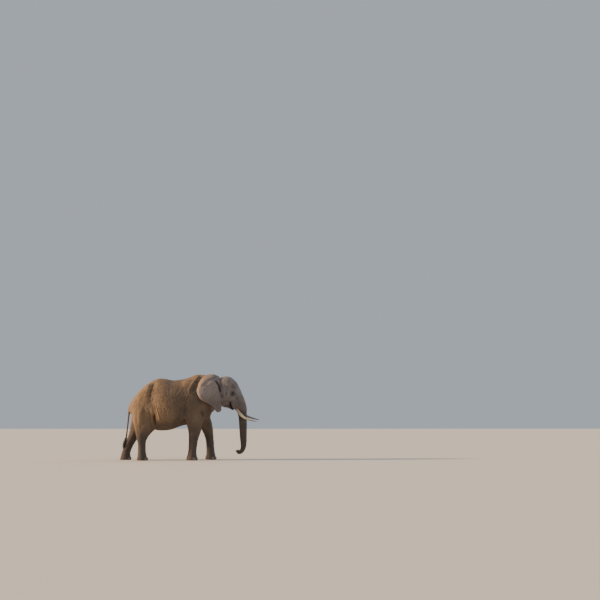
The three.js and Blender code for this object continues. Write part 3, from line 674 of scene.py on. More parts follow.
def wrinkle_legs(skin, masks):
    """Loose skin down the legs: long pleats above, cross creases at knee and ankle, and the pad's soft edge."""
    shift = np.zeros(len(skin.places))
    z = skin.body[:, 2]
    for i, leg in enumerate(LEGS):
        bearing, mask = leg_bearing(skin, leg), masks[leg]
        front = 0.6 + 0.4 * np.cos(bearing)
        pleats = wound(bearing, z / 420 + 0.5 * i, 2.4)
        shift -= mask * 6 * creases(pleats, 41 + i, 0.16) * window(z, 200, 420, 1100, 1500)
        knee = bump((z, 600 if leg.startswith("fore") else 560, 170))
        ankle = bump((z, 210, 70))
        cross = wound(bearing, z / 62 + 7 * i, 1.1)
        shift -= mask * (5 * knee + 5 * ankle) * front * creases(cross, 51 + i, 0.2)
        shift += mask * 5 * bump((z, 38, 26))
        shift -= mask * 5 * bump((z, 128, 26)) * front
    return skin.push(shift)


def loosen(skin, masks):
    """The slack of a heavy hide: broad swells, and a net of creases that hangs down the sides."""
    body, torso, up = skin.body, masks["torso"], skin.normals[:, 2]
    x, y, z = body.T
    bare = share(1 - masks["ear"] - masks["trunk"] - masks["tail"])
    foot = step(z, 60, 220)
    shift = bare * foot * 6 * noise(body / 330, 61)
    shift += bare * foot * 3 * noise(body / 150, 62)
    # the barrel is broadest towards the loins and flatter behind the shoulder
    flank = torso * step(np.abs(skin.normals[:, 1]), 0.25, 0.7)
    shift += flank * 30 * bump((x, -1000, 290), (z, 2330, 380))
    shift -= flank * 36 * bump((x, -120, 230), (z, 2470, 300))
    # the ribs show faintly, and the spine stands up
    ribs = wave((x + 0.16 * (z - 2000)) / 118)
    shift += 1.3 * ribs * torso * window(x, -1150, -950, -350, -150) * window(z, 1500, 1750, 2500, 2750)
    bones = 0.7 + 0.3 * wave(x / 105)
    shift += 11 * bones * bump((y, 0, 42)) * step(up, 0.5, 0.85) * torso * step(x, -2050, -1800)
    net = np.zeros(len(body))
    lean = x + 0.28 * (z - 1800)
    for seed, (long_way, across, depth) in enumerate([(210, 78, 1.0), (150, 60, 0.8), (100, 46, 0.6)]):
        points = grains(lean / across, y / across, z / long_way) + 0.35 * noise(body / 120, 70 + seed)[:, None]
        net += creases(points, 80 + seed, 0.13) * depth
    rump = step(x, -700, -1300) * step(z, 1300, 1800)
    net += rump * 1.1 * creases(body / [90, 90, 62] + 0.3 * noise(body / 90, 91)[:, None], 92, 0.14)
    slack = share(1 - 0.55 * step(up, 0.5, 0.9) - 0.45 * masks["head"] - 0.3 * masks["leg"])
    deep = (5.2 + 1.8 * rump) * (bare * foot * slack) * net
    skin.push(shift - deep)
    return -0.75 * deep


def eye_frame(side):
    """The eye's middle and its own axes in the head's frame: forwards along the lids, up, and out."""
    mirror = np.array([1.0, side, 1.0])
    out = unit(GAZE * mirror)
    ahead = np.array([1.0, 0.0, -0.16])
    ahead = unit(ahead - out * (ahead @ out))
    return EYE_CENTRE * mirror, ahead, np.cross(out, ahead) * -side, out


def eye_view(points, side):
    """Points as one eye has them: how far forwards, up and out from its middle."""
    centre, *axes = eye_frame(side)
    return [(points - centre) @ axis for axis in axes]


def lid_height(a, b):
    """How far out the lids lie over the eye's middle: a dome a little larger than the eyeball, open along a slit."""
    r = np.hypot(a, b)
    dome = np.sqrt(np.clip(LID_DOME**2 - r**2, 0, None))
    dome = np.where(r > LID_EDGE, np.sqrt(LID_DOME**2 - LID_EDGE**2) - (r - LID_EDGE) * 0.42, dome)
    wide, high = LID_SLIT
    open_at = np.sqrt((a / wide) ** 2 + ((b + 1 - 0.06 * a) / (high * (1 - 0.1 * a / wide))) ** 2)
    margin = 2.4 * bump(((open_at - 1.2) * high, 0, 2.6))
    return dome + margin - 13 * step(open_at, 1.04, 0.9), open_at


def shape_eyes(skin):
    """Heavy lids round each eye, a brow above it, and bags and creases that ring it."""
    head = skin.head.copy()
    dents = np.zeros(len(head))
    for side in SIDES.values():
        out = eye_frame(side)[-1]
        a, b, h = eye_view(head, side)
        r = np.hypot(a, b)
        near = (r < 210) & (h > -90) & (head[:, 1] * side > 150)
        lids, _ = lid_height(a, b)
        wrap = step(np.hypot(a * 0.75, b * np.where(b > 0, 0.9, 1.05)), 58, 26)
        form = 19 * bump((b + 0.18 * a, 60, 25), (a, 8, 80))  # brow
        form += 10 * bump((b - 0.1 * a, -44, 16), (a, 0, 60))  # bag
        form -= 9 * bump((b, -84, 30), (a, -10, 80))  # hollow under it
        rings = np.hypot(a * 0.6, np.where(b > 0, b * 0.92, b)) + 3.5 * noise(grains(a, b, h) / 24, 14)
        fade = np.where(b > 0, 1.0, 0.85) * (0.5 + 0.5 * np.abs(b) / (np.abs(b) + np.abs(a) * 0.6 + 1))
        creased = np.zeros(len(r))
        for radius, depth, width in (
            (26, 5, 2.8), (33, 7, 3.4), (42, 8.6, 4.2), (54, 9.6, 5.4), (68, 9.6, 6.5), (86, 8.4, 8), (106, 7, 10),
            (128, 5, 11),
        ):
            creased += depth * fade * bump((rings, radius, width))
        # crow's feet behind the eye
        feet = 8 * creases(grains(np.arctan2(b, -a) * 4.2, r / 160, 1.5), 17, 0.16)
        creased += feet * step(a, 12, -12) * window(r, 30, 48, 100, 170)
        creased *= step(r, 23, 32)
        head += np.where(near, (lids - h) * wrap + form * (1 - wrap) - creased, 0)[:, None] * out
        dents += near * creased
    skin.place_head(head)
    return dents


def shape_sheaths(skin, masks):
    """Rings the skin where it grips each tusk."""
    shift = np.zeros(len(skin.places))
    for name in SIDES:
        distance, _, along = along_line(skin.head, smooth_line(tusk_rows(name)[:3, :3]))
        near = (distance < 135) * step(along, 0.05, 0.3)
        rings = wave(along * 9 + 0.25 * noise(skin.head / 55, 33))
        shift += near * 1.8 * np.minimum(rings, 0.3) * step(distance, 130, 95)
    skin.push(shift * share(masks["head"] + masks["trunk"]))


def nail_seat(nail):
    """A nail's middle, and the way it faces from the middle of its sole."""
    low, high = (np.array(v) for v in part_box(nail))
    middle = (low + high) / 2
    sole = to_model(leg_line(nail.split("_nail_")[0])[0])[0]
    return middle, unit((middle - sole) * [1, 1, 0])


def seat_nails(skin):
    """Presses the hide in behind each nail, and raises a cuticle round it."""
    shift = np.zeros(len(skin.places))
    for nail in NAILS:
        middle, out = nail_seat(nail)
        off = (skin.places - middle) / MM
        near = (np.linalg.norm(off, axis=1) < 110) & (off @ out > -60)
        a, b = off @ [-out[1], out[0], 0], off[:, 2]
        rim = np.hypot(a / 52, b / 38)
        shift += near * (-9 * step(rim, 0.95, 0.78) + 9 * bump((rim, 1.2, 0.15)) * step(b, -35, 0))
    skin.push(shift)


def tusk_rows(name):
    """The rows of one tusk's line in the head's own frame."""
    rows = np.array(TUSK_LINE, float)
    lift, longer, _ = TUSK_GROWN[name]
    rows[:, 0] = rows[0, 0] + (rows[:, 0] - rows[0, 0]) * longer
    rows[:, 1] *= SIDES[name]
    rows[:, 2] += lift * np.sin(np.pi * np.arange(len(rows)) / (len(rows) - 1) * 0.75)
    return rows


# ---------------------------------------------------------------- materials
HIDE_MARKS = ("rings", "ears", "face", "dust", "sooty_and_shade", "creased", "dark")  # each an attribute from 0 to 1


def begun(name):
    """A new empty material, and the function that adds a node to it and gives the node's outputs.

    Inputs go by name or in order. A socket is linked and anything else is set. Settings are the node's own.
    """
    material = bpy.data.materials.new(name)
    material.use_nodes = True
    tree = material.node_tree
    tree.nodes.clear()

    def add(kind, inputs=(), **settings):
        node = tree.nodes.new("ShaderNode" + kind)
        for key, value in settings.items():
            setattr(node, key, value)
        for key, value in inputs.items() if isinstance(inputs, dict) else enumerate(inputs):
            if isinstance(value, bpy.types.NodeSocket):
                tree.links.new(value, node.inputs[key])
            else:
                node.inputs[key].default_value = value
        return node.outputs

    return material, add


def hide_material(sizes):
    """Elephant hide: thick dry skin in a net of cracks darkened by dirt and painted shade, with pale dust on what
    stands up, and paler dust that paints sunlight on the rump, the flank's folds and the ear rims.

    It has no gloss of its own, only the faint shine of horny skin, so roughness stays high.
    """
    material, add = begun("wrinkled_elephant_hide")
    lie = add("Attribute", attribute_name="lie")["Vector"]
    masks = {name: add("Attribute", attribute_name=name)["Fac"] for name in HIDE_MARKS}

    # the place, moved about by noise so that no line runs straight: bends a metre, and their reach in metres
    led = lie
    for bends, reach in ((6.0, 0.07), (48.0, 0.016)):
        off = add("TexNoise", {"Vector": lie, "Scale": bends, "Detail": 2.0})["Color"]
        off = add("VectorMath", (off, (0.5, 0.5, 0.5)), operation="SUBTRACT")[0]
        off = add("VectorMath", {0: off, "Scale": reach}, operation="SCALE")[0]
        led = add("VectorMath", (led, off), operation="ADD")[0]

    pebble = add("TexNoise", {"Vector": lie, "Scale": 160.0, "Detail": 3.0, "Roughness": 0.6})["Fac"]
    cloud = add("TexNoise", {"Vector": lie, "Scale": 2.3, "Detail": 5.0, "Roughness": 0.62})["Fac"]
    cloud = add("MapRange", (cloud, 0.32, 0.68))[0]
    patch = add("TexNoise", {"Vector": lie, "Scale": 11.0, "Detail": 4.0, "Roughness": 0.6})["Fac"]

    # where each kind of line shows
    off_ears = add("Math", (1.0, masks["ears"]), operation="SUBTRACT")[0]
    off_rings = add("Math", (1.0, masks["rings"]), operation="SUBTRACT")[0]
    off_rings = add("Math", (off_rings, off_ears), operation="MULTIPLY")[0]
    on_body = add("Math", (masks["face"], -0.42, 1.0), operation="MULTIPLY_ADD")[0]
    on_body = add("Math", (off_rings, on_body), operation="MULTIPLY")[0]
    worn = add("Math", (cloud, 0.6, 0.4), operation="MULTIPLY_ADD")[0]
    fresh = add("Math", (1.25, worn), operation="SUBTRACT")[0]
    fine = add("Math", (masks["ears"], -0.15, 0.9), operation="MULTIPLY_ADD")[0]
    plain = add("Math", (masks["ears"], -0.42, 0.9), operation="MULTIPLY_ADD")[0]
    plain = add("Math", (masks["face"], -0.3, plain), operation="MULTIPLY_ADD")[0]

    # Each kind: cells or windings a metre, how they are drawn out in X, Y and Z, their lean about Y in degrees, the
    # line's share of a cell, its depth in mm, how far its line darkens the skin with dirt and painted shade, and
    # where it shows. The first four are the edges of cells, the others wander like combed hair.
    height = add("Math", (pebble, 0.8), operation="MULTIPLY")[0]
    # Dirt and painted shade: the skin darkens where the folds cut deep, and along each kind's lines below.
    dirt_and_shade = add("Math", (masks["creased"], 0.55), operation="MULTIPLY")[0]
    for name, scale, drawn, lean, width, depth, darkening, *where in (
        ("hanging", 15.0, (1.0, 1.0, 0.36), 0, 0.11, -2.6, 0.46, on_body, fresh),  # 65 mm wide and 185 mm long
        ("leaning", 19.0, (1.0, 0.8, 0.4), 34, 0.10, -2.1, 0.42, on_body, worn),
        ("net", 42.0, (1.0, 1.0, 0.72), 0, 0.15, -1.5, 0.3, plain),  # 24 mm cells
        ("grain", 92.0, (1.0, 1.0, 0.85), 0, 0.2, -0.6, 0.2, fine),  # 11 mm, a little coarse so that it shows
        ("crossing", 19.0, (0.42, 0.42, 1.0), -14, 0.05, -1.7, 0.2, off_rings),
        ("bands", 24.0, (0.30, 0.30, 1.5), 0, 0.07, -2.6, 0.5, masks["rings"]),  # 27 mm apart, round trunk and legs
        ("lines", 52.0, (0.34, 0.34, 1.4), 0, 0.07, -1.2, 0.34, masks["rings"]),
    ):
        spot = add("Mapping", {"Vector": led, "Rotation": (0.0, math.radians(lean), 0.0)})[0]
        spot = {"Vector": add("Mapping", {"Vector": spot, "Scale": drawn})[0], "Scale": scale}
        if name in ("hanging", "leaning", "net", "grain"):
            spot["Randomness"] = 0.9 if name in ("hanging", "leaning") else 1.0
            line = add("TexVoronoi", spot, feature="DISTANCE_TO_EDGE")["Distance"]
        else:
            line = add("TexNoise", {**spot, "Detail": 1.2, "Roughness": 0.45})["Fac"]
            line = add("Math", (line, 0.5), operation="SUBTRACT")[0]
            line = add("Math", (line,), operation="ABSOLUTE")[0]
        if name == "net":
            domed = add("MapRange", (line, 0.0, 0.5, 0.0, 1.3), interpolation_type="SMOOTHSTEP")[0]
        line = add("MapRange", (line, 0.0, width, 1.0, 0.0), interpolation_type="SMOOTHERSTEP")[0]
        for mask in where:
            line = add("Math", (line, mask), operation="MULTIPLY")[0]
        height = add("Math", (line, depth, height), operation="MULTIPLY_ADD")[0]
        line = add("Math", (line, darkening), operation="MULTIPLY")[0]
        dirt_and_shade = add("Math", (dirt_and_shade, line), operation="MAXIMUM")[0]
    height = add("Math", (patch, 2.4, height), operation="MULTIPLY_ADD")[0]
    calm = add("Math", (masks["face"], -0.12, 1.0), operation="MULTIPLY_ADD")[0]
    height = add("Math", (height, calm), operation="MULTIPLY")[0]
    height = add("Math", (domed, on_body, height), operation="MULTIPLY_ADD")[0]
    normal = add("Bump", {"Height": height, "Distance": MM, "Strength": 1.0})[0]

    # Colour: grey-brown skin, mauve-grey head and ears, sooty trunk end and legs with painted shade under the
    # belly, each in patches of two tones, then tan dust on the back and rump that also paints sunlight there and on
    # the ear rims, dirt and painted shade in the cracks, and dark wet skin with painted shade in the mouth, the ear
    # slit, the nostrils and under the brow.
    dust_and_sunlight = add("Math", (patch, 0.9, 0.35), operation="MULTIPLY_ADD")[0]
    dust_and_sunlight = add("Math", (masks["dust"], dust_and_sunlight), operation="MULTIPLY", use_clamp=True)[0]
    skin = None
    for over, blotch, shade, light in (
        (None, cloud, sizes.hide_shade, sizes.hide_light),
        (masks["face"], cloud, sizes.face_shade, sizes.face_light),
        (masks["ears"], patch, sizes.ear_shade, sizes.ear_light),
        (masks["sooty_and_shade"], patch, sizes.leg_shade, sizes.leg_light),
    ):
        tone = add("Mix", {0: blotch, 6: shade, 7: light}, data_type="RGBA")[2]
        skin = add("Mix", {0: over, 6: skin, 7: tone}, data_type="RGBA")[2] if skin else tone
    for over, tone in ((dust_and_sunlight, sizes.dust), (dirt_and_shade, sizes.dirt_and_shade), (masks["dark"], sizes.wet)):
        skin = add("Mix", {0: over, 6: skin, 7: tone}, data_type="RGBA")[2]
    rough = add("MapRange", (patch, 0.3, 0.7, 0.74, 0.9))[0]
    finish = {"Roughness": rough, "Normal": normal, "IOR": 1.45, "Specular IOR Level": 0.32}
    add("OutputMaterial", [add("BsdfPrincipled", {"Base Color": skin, **finish})[0]])
    return material


def ivory_material(sizes):
    """Tusk ivory: dense dentine with a long grain, polished by use at the tip, with sap and soil in its cracks, soil
    on the tips, and painted shade on its underside and over the left tusk.
    """
    material, add = begun("worn_tusk_ivory")
    along = add("Attribute", attribute_name="along")["Fac"]
    soil_and_shade = add("Attribute", attribute_name="soil_and_shade")["Fac"]
    way = add("Attribute", attribute_name="round")["Vector"]
    drawn = add("Mapping", {"Vector": way, "Scale": (9.0, 9.0, 1.6)})[0]
    grain = add("TexNoise", {"Vector": drawn, "Scale": 4.0, "Detail": 5.0})["Fac"]
    cloud = add("TexNoise", {"Vector": add("TexCoord")["Object"], "Scale": 9.0, "Detail": 4.0})["Fac"]
    drawn = add("Mapping", {"Vector": way, "Scale": (5.0, 5.0, 0.7)})[0]
    split = add("TexVoronoi", {"Vector": drawn, "Scale": 1.6}, feature="DISTANCE_TO_EDGE")["Distance"]
    split = add("MapRange", (split, 0.0, 0.035, 1.0, 0.0))[0]
    stain = add("MapRange", (along, 0.12, 0.5, 1.0, 0.0), interpolation_type="SMOOTHSTEP")[0]
    blotch = add("Math", (cloud, 1.1, 0.15), operation="MULTIPLY_ADD")[0]
    stain = add("Math", (stain, blotch), operation="MULTIPLY", use_clamp=True)[0]
    cracked = add("Math", (split, 0.5), operation="MULTIPLY")[0]
    # Soil on the tips, and painted shade on the underside and over the left tusk, in blotches.
    blotch = add("Math", (cloud, 0.9, 0.55), operation="MULTIPLY_ADD")[0]
    soil_and_shade = add("Math", (soil_and_shade, blotch), operation="MULTIPLY", use_clamp=True)[0]
    base = sizes.ivory_shade
    for over, tone in (
        (grain, sizes.ivory_light),
        (stain, sizes.ivory_stain),
        (cracked, sizes.ivory_stain),
        (soil_and_shade, sizes.ivory_soil_and_shade),
    ):
        base = add("Mix", {0: over, 6: base, 7: tone}, data_type="RGBA")[2]
    rough = add("MapRange", (along, 0.0, 1.0, 0.52, 0.3))[0]
    rough = add("Math", (cloud, 0.12, rough), operation="MULTIPLY_ADD")[0]
    height = add("Math", (grain, 0.6), operation="MULTIPLY")[0]
    height = add("Math", (split, -0.5, height), operation="MULTIPLY_ADD")[0]
    normal = add("Bump", {"Height": height, "Distance": MM})[0]
    finish = {"Roughness": rough, "Normal": normal, "IOR": 1.54, "Subsurface Weight": 0.08, "Subsurface Scale": 0.01}
    add("OutputMaterial", [add("BsdfPrincipled", {"Base Color": base, **finish})[0]])
    return material


def horn_material(sizes):
    """Nail horn: keratin laid down in bands across the nail, scuffed pale at its free edge."""
    material, add = begun("scuffed_nail_horn")
    place = add("TexCoord")["Object"]
    drawn = add("Mapping", {"Vector": place, "Scale": (14.0, 14.0, 130.0)})[0]
    bands = add("TexNoise", {"Vector": drawn, "Scale": 1.0, "Detail": 3.0})["Fac"]
    scuff = add("TexNoise", {"Vector": place, "Scale": 55.0, "Detail": 5.0, "Roughness": 0.7})["Fac"]
    worn = add("MapRange", (add("SeparateXYZ", (place,))["Z"], 0.02, 0.07, 0.75, 0.0))[0]
    blotch = add("Math", (scuff, 1.2, 0.1), operation="MULTIPLY_ADD")[0]
    worn = add("Math", (worn, blotch), operation="MULTIPLY", use_clamp=True)[0]
    base = sizes.nail_shade
    for over, tone in ((bands, sizes.nail_light), (worn, sizes.nail_worn)):
        base = add("Mix", {0: over, 6: base, 7: tone}, data_type="RGBA")[2]
    rough = add("Math", (scuff, 0.3, 0.42), operation="MULTIPLY_ADD")[0]
    relief = add("Math", (bands, 1.2), operation="MULTIPLY")[0]
    relief = add("Math", (scuff, 0.5, relief), operation="MULTIPLY_ADD")[0]
    normal = add("Bump", {"Height": relief, "Distance": MM})[0]
    finish = {"Roughness": rough, "Normal": normal, "IOR": 1.55}
    add("OutputMaterial", [add("BsdfPrincipled", {"Base Color": base, **finish})[0]])
    return material


def eye_material(sizes):
    """A wet eye: a round black pupil in an amber-brown iris with a dark rim, in a brown-stained white."""
    material, add = begun("wet_amber_eye")
    reach = add("Attribute", attribute_name="gaze")["Fac"]  # millimetres from the line of sight
    place = add("Attribute", attribute_name="round")["Vector"]
    rays = add("TexNoise", {"Vector": place, "Scale": 9.0, "Detail": 4.0, "Roughness": 0.7})["Fac"]
    pupil = add("MapRange", (reach, 4.6, 5.6, 1.0, 0.0))[0]
    rim = add("MapRange", (reach, 9.6, 12.4))[0]
    white = add("MapRange", (reach, 12.8, 14.6))[0]
    base = sizes.iris_shade
    for over, tone in ((rays, sizes.iris_light), (pupil, sizes.pupil), (rim, sizes.pupil), (white, sizes.eye_white)):
        base = add("Mix", {0: over, 6: base, 7: tone}, data_type="RGBA")[2]
    vein = add("TexNoise", {"Vector": place, "Scale": 30.0, "Detail": 2.0})["Fac"]
    rough = add("MapRange", (vein, 0.0, 1.0, 0.05, 0.11))[0]
    finish = {"Roughness": rough, "IOR": 1.376, "Coat Weight": 1.0, "Coat Roughness": 0.03}
    add("OutputMaterial", [add("BsdfPrincipled", {"Base Color": base, **finish})[0]])
    return material


def hair_material(sizes):
    """Coarse tail hair: stiff black-brown keratin wires with a dull shine, greyed by dust."""
    material, add = begun("coarse_dark_hair")
    dust = add("TexNoise", {"Vector": add("TexCoord")["Object"], "Scale": 22.0, "Detail": 3.0})["Fac"]
    dust = add("MapRange", (dust, 0.42, 0.75))[0]
    base = add("Mix", {0: dust, 6: sizes.hair, 7: sizes.hair_dust}, data_type="RGBA")[2]
    rough = add("MapRange", (dust, 0.0, 1.0, 0.42, 0.7))[0]
    add("OutputMaterial", [add("BsdfPrincipled", {"Base Color": base, "Roughness": rough, "IOR": 1.55})[0]])
    return material


def floor_material(sizes):
    """Matt paint: it scatters light evenly and hardly shines."""
    material, add = begun("pale_matt_floor")
    cloud = add("TexNoise", {"Vector": add("TexCoord")["Object"], "Scale": 0.6, "Detail": 3.0})["Fac"]
    rough = add("MapRange", (cloud, 0.0, 1.0, 0.85, 0.95))[0]
    add("OutputMaterial", [add("BsdfPrincipled", {"Base Color": sizes.floor_tint, "Roughness": rough})[0]])
    return material


# ---------------------------------------------------------------- pieces
def swept(name, rows, around, steps):
    """A tapered rod along rows of x, y, z and radius, drawn as a bevelled curve and made a mesh."""
    data = bpy.data.curves.new(name, "CURVE")
    data.dimensions = "3D"
    path = smooth_line(rows, steps)
    line = data.splines.new("POLY")
    line.points.add(len(path) - 1)
    for point, (*place, radius) in zip(line.points, path):
        point.co = (*place, 1)
        point.radius = radius
    data.bevel_depth = 1.0
    data.bevel_resolution = around
    data.use_fill_caps = True
    pick(new_thing(name, data))
    bpy.ops.object.convert(target="MESH")
    rod = bpy.context.object
    rod.name = rod.data.name = name
    bpy.ops.object.mode_set(mode="EDIT")
    bpy.ops.mesh.select_all(action="SELECT")
    bpy.ops.mesh.remove_doubles(threshold=1e-5)
    bpy.ops.mesh.normals_make_consistent(inside=False)
    bpy.ops.object.mode_set(mode="OBJECT")
    return rod


def plugged_flesh():
    """The flesh in one mesh, with the sockets filled, a sleeve of skin round each tusk's root, and a jowl each side."""
    shape = bmesh.new()
    for node in FLESH + EYES + NAILS:
        shape.from_mesh(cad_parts[node].data)
    bmesh.ops.remove_doubles(shape, verts=shape.verts, dist=1e-5)
    hide = new_thing("hide", bpy.data.meshes.new("hide"))
    shape.to_mesh(hide.data)
    shape.free()
    extra = []
    for name, side in SIDES.items():
        path = smooth_line(tusk_rows(name)[:3, :3], 8)
        path = path[: len(path) * 3 // 5]  # the lip ends here
        girth = np.interp(np.linspace(0, 1, len(path)), *zip(*SHEATH))
        extra.append(swept("sleeve_" + name, rod_rows(np.column_stack([path, girth]), head_to_model), 7, 2))
        extra.append(swept("jowl_" + name, rod_rows(JOWL * np.array([1, side, 1, 1]), head_to_model), 7, 6))
    pick(hide)
    for rod in extra:
        rod.select_set(True)
    bpy.ops.object.join()
    return hide


def keep_largest(thing):
    """Drops what the remesh closed off inside the body."""
    shape = bmesh.new()
    shape.from_mesh(thing.data)
    loose, islands = set(shape.verts), []
    while loose:
        island, found = set(), {loose.pop()}
        while found:
            island |= found
            found = {v for seen in found for edge in seen.link_edges for v in edge.verts} - island
        loose -= island
        islands.append(island)
    islands.remove(max(islands, key=len))
    bmesh.ops.delete(shape, geom=[v for island in islands for v in island], context="VERTS")
    shape.to_mesh(thing.data)
    shape.free()


def refine(thing, wanted):
    """Cuts every face whose corners are all wanted into four."""
    pick(thing)
    bpy.ops.object.mode_set(mode="EDIT")
    bpy.ops.mesh.select_mode(type="VERT")
    bpy.ops.mesh.select_all(action="DESELECT")
    bpy.ops.object.mode_set(mode="OBJECT")
    thing.data.vertices.foreach_set("select", wanted)
    bpy.ops.object.mode_set(mode="EDIT")
    bpy.ops.mesh.select_mode(type="FACE")
    bpy.ops.mesh.subdivide(number_cuts=1)
    bpy.ops.mesh.select_all(action="SELECT")
    bpy.ops.mesh.quads_convert_to_tris()
    bpy.ops.object.mode_set(mode="OBJECT")


def near_eyes(skin, reach):
    """The corners within so many millimetres of either eye."""
    centres = [EYE_CENTRE * np.array([1, side, 1]) for side in SIDES.values()]
    return np.any([np.linalg.norm(skin.head - centre, axis=1) < reach for centre in centres], axis=0)


def mark_hide(skin, masks, creased):
    """The attributes that the hide's material reads."""
    head, up = skin.head, skin.normals[:, 2]
    x, _, z = skin.body.T
    hx, hy, hz = head.T
    ear, jaw, trunk, neck, leg, tail = (masks[name] for name in ("ear", "jaw", "trunk", "neck", "leg", "tail"))
    marks = {"creased": creased, "ears": ear, "face": masks["head"] + jaw + 0.6 * neck + trunk}

    # the pattern follows the trunk's end round, instead of the height
    down, _ = trunk_frame(skin)
    curl = trunk * step(down, 1250, 1450)
    lie = skin.places.copy()
    lie[:, 2] = lie[:, 2] * (1 - curl) + curl * (to_model([0, 0, TRUNK[0][1]])[0, 2] - down * MM)
    skin.keep("lie", lie)

    # the trunk's rings begin faintly on the face and grow down it
    ladder = share(masks["head"] - ear - jaw) * step(hx, 1500, 1720) * step(hz, 2450, 1700)
    marks["rings"] = trunk * step(down, 0, 420) * step(hz, 1930, 1560) + 0.8 * ladder
    marks["rings"] += leg * step(z, 1250, 700) * 0.75 + tail

    flat = head[:, [0, 2]]
    edge, _, along = along_line(flat, smooth_line(EAR_EDGE))
    # Pale dust on what faces up and on the rump, which also paints sunlight: paler on the sunlit rump, the lit folds of
    # the flank, the upper foreleg and the ear's rim, and less on the back and upper flank as painted shade.
    dust = 0.7 * step(up, 0.15, 0.85) + 0.6 * step(x, -250, -1500) * step(z, 800, 1650) + 0.06
    dust += 0.45 * bump((x, -1020, 150), (z, 1740, 260))
    dust += 0.2 * bump((x, 250, 170), (z, 1600, 330))
    dust *= 1 - 0.95 * share(masks["head"] + jaw + trunk + 0.9 * ear)
    dust *= step(z, 500, 1400)
    dust *= 1 - 0.7 * window(x, -1350, -1050, -420, -60) * step(z, 2150, 2450)
    dust += 0.6 * ear * step(edge, 150, 70) * window(along, 0.06, 0.16, 0.4, 0.5)
    marks["dust"] = dust + 0.2 * noise(skin.body / 240, 101) * step(z, 700, 1300)

    # Darker skin down the trunk and the face above it, the lower legs, the tail, and the ears' lobes and tops; under
    # the belly the darkening is painted shade.
    sooty_and_shade = trunk * (0.3 + 0.7 * step(down, 100, 800)) + leg * step(z, 1350, 650) * 0.85 + tail
    sooty_and_shade += 0.55 * ladder + masks["torso"] * 0.6 * step(z, 1480, 1240) * step(np.abs(up), -0.2, 0.6) * (1 - leg)
    marks["sooty_and_shade"] = sooty_and_shade + ear * (0.5 * step(hz, 2400, 1950) + 0.3 * step(hz, 2760, 2960))

    # painted shade in the mouth's corner and under the lower lip, in the slit before the ear, and in the nostrils
    mouth = np.maximum(jaw * step(hx, 1380, 1470), bump((hx, 1474, 44), (hz, 2010, 70)))
    slit, _, _ = along_line(flat, smooth_line(EAR_SLIT))
    darks = [
        0.72 * mouth * step(hx, 1380, 1440),
        0.78 * bump((slit, 0, 33)) * share(ear + masks["head"] + neck),
        0.6 * trunk * step(down, 1925, 1975),
    ]
    # the stain that runs down from the gland behind each eye, and the eye's dark surround: dark wet skin at the
    # lids, and painted shade of the brow round them
    run = bump((hx - 1336 - 8 * noise(head / 60, 9), 0, 24)) * window(hz, 2140, 2300, 2390, 2450)
    for side in SIDES.values():
        a, b, h = eye_view(head, side)
        near = (np.abs(h) < 90) & (hy * side > 100)
        darks.append(near * 0.9 * step(lid_height(a, b)[1], 1.55, 1.02))
        darks.append(near * 0.6 * step(np.hypot(a * 0.8, b - 4), 104, 24))
        darks.append(0.55 * run * (hy * side > 150) * masks["head"])
    marks["dark"] = np.max(darks, axis=0)
    for name in HIDE_MARKS:
        skin.keep(name, share(marks[name]))


def strands(name, roots, ways, bends, lengths, widths, unwrap, rings, sides=3):
    """Hairs as thin closed tubes that taper to a point, in one mesh, each with its patch of the bake's map."""
    count = len(roots)
    t = np.linspace(0, 1, rings)[None, :, None]
    middle = roots[:, None] + lengths[:, None, None] * (ways[:, None] * t + bends[:, None] * t * t)
    along = unit(ways[:, None] + 2 * bends[:, None] * t)
    aside = unit(np.cross(along, np.where(np.abs(along[..., :1]) < 0.8, [1.0, 0, 0], [0, 1.0, 0])))
    turn = np.linspace(0, 2 * np.pi, sides, endpoint=False)[:, None]
    ring = aside[:, :, None] * np.cos(turn) + np.cross(along, aside)[:, :, None] * np.sin(turn)
    radius = (widths[:, None, None] / 2) * (1 - 0.94 * t**1.6)
    corners = (middle[:, :, None] + radius[:, :, None] * ring).reshape(-1, 3)

    s, r = np.meshgrid(np.arange(sides), np.arange(rings - 1))
    a, b = (r * sides + s).ravel(), (r * sides + (s + 1) % sides).ravel()
    walls = np.stack([a, b, b + sides, a + sides], axis=1)
    starts = np.arange(count) * rings * sides
    faces = (walls + starts[:, None, None]).reshape(-1, 4).tolist()
    for start in starts.tolist():
        faces.append([start + i for i in reversed(range(sides))])
        faces.append([start + (rings - 1) * sides + i for i in range(sides)])
    mesh = bpy.data.meshes.new(name)
    mesh.from_pydata(corners.tolist(), [], faces)
    mesh.update()

    inside = np.stack(np.meshgrid(np.arange(sides) / sides, np.arange(rings) / rings), axis=-1).reshape(-1, 2)
    spots = (unwrap[:, None] + MAP_PATCH * (inside - 0.5)).reshape(-1, 2)
    index = Surface.read(mesh.loops, "vertex_index", 1, np.int32)[:, 0]
    mesh.uv_layers.new(name="OFBake").data.foreach_set("uv", spots[index].astype(np.float32).ravel())
    return new_thing(name, mesh)


# ---------------------------------------------------------------- what a user may change
def length(name, what, default, low, high):
    settings = {"default": default, "min": low, "max": high, "unit": "LENGTH", "subtype": "DISTANCE"}
    return FloatProperty(name=name, description=what, **settings)


def tally(name, what, default, low, high):
    return IntProperty(name=name, description=what, default=default, min=low, max=high)


def tint(name, what, code):
    return FloatVectorProperty(name=name, description=what, default=colour(code), size=4, min=0, max=1, subtype="COLOR")


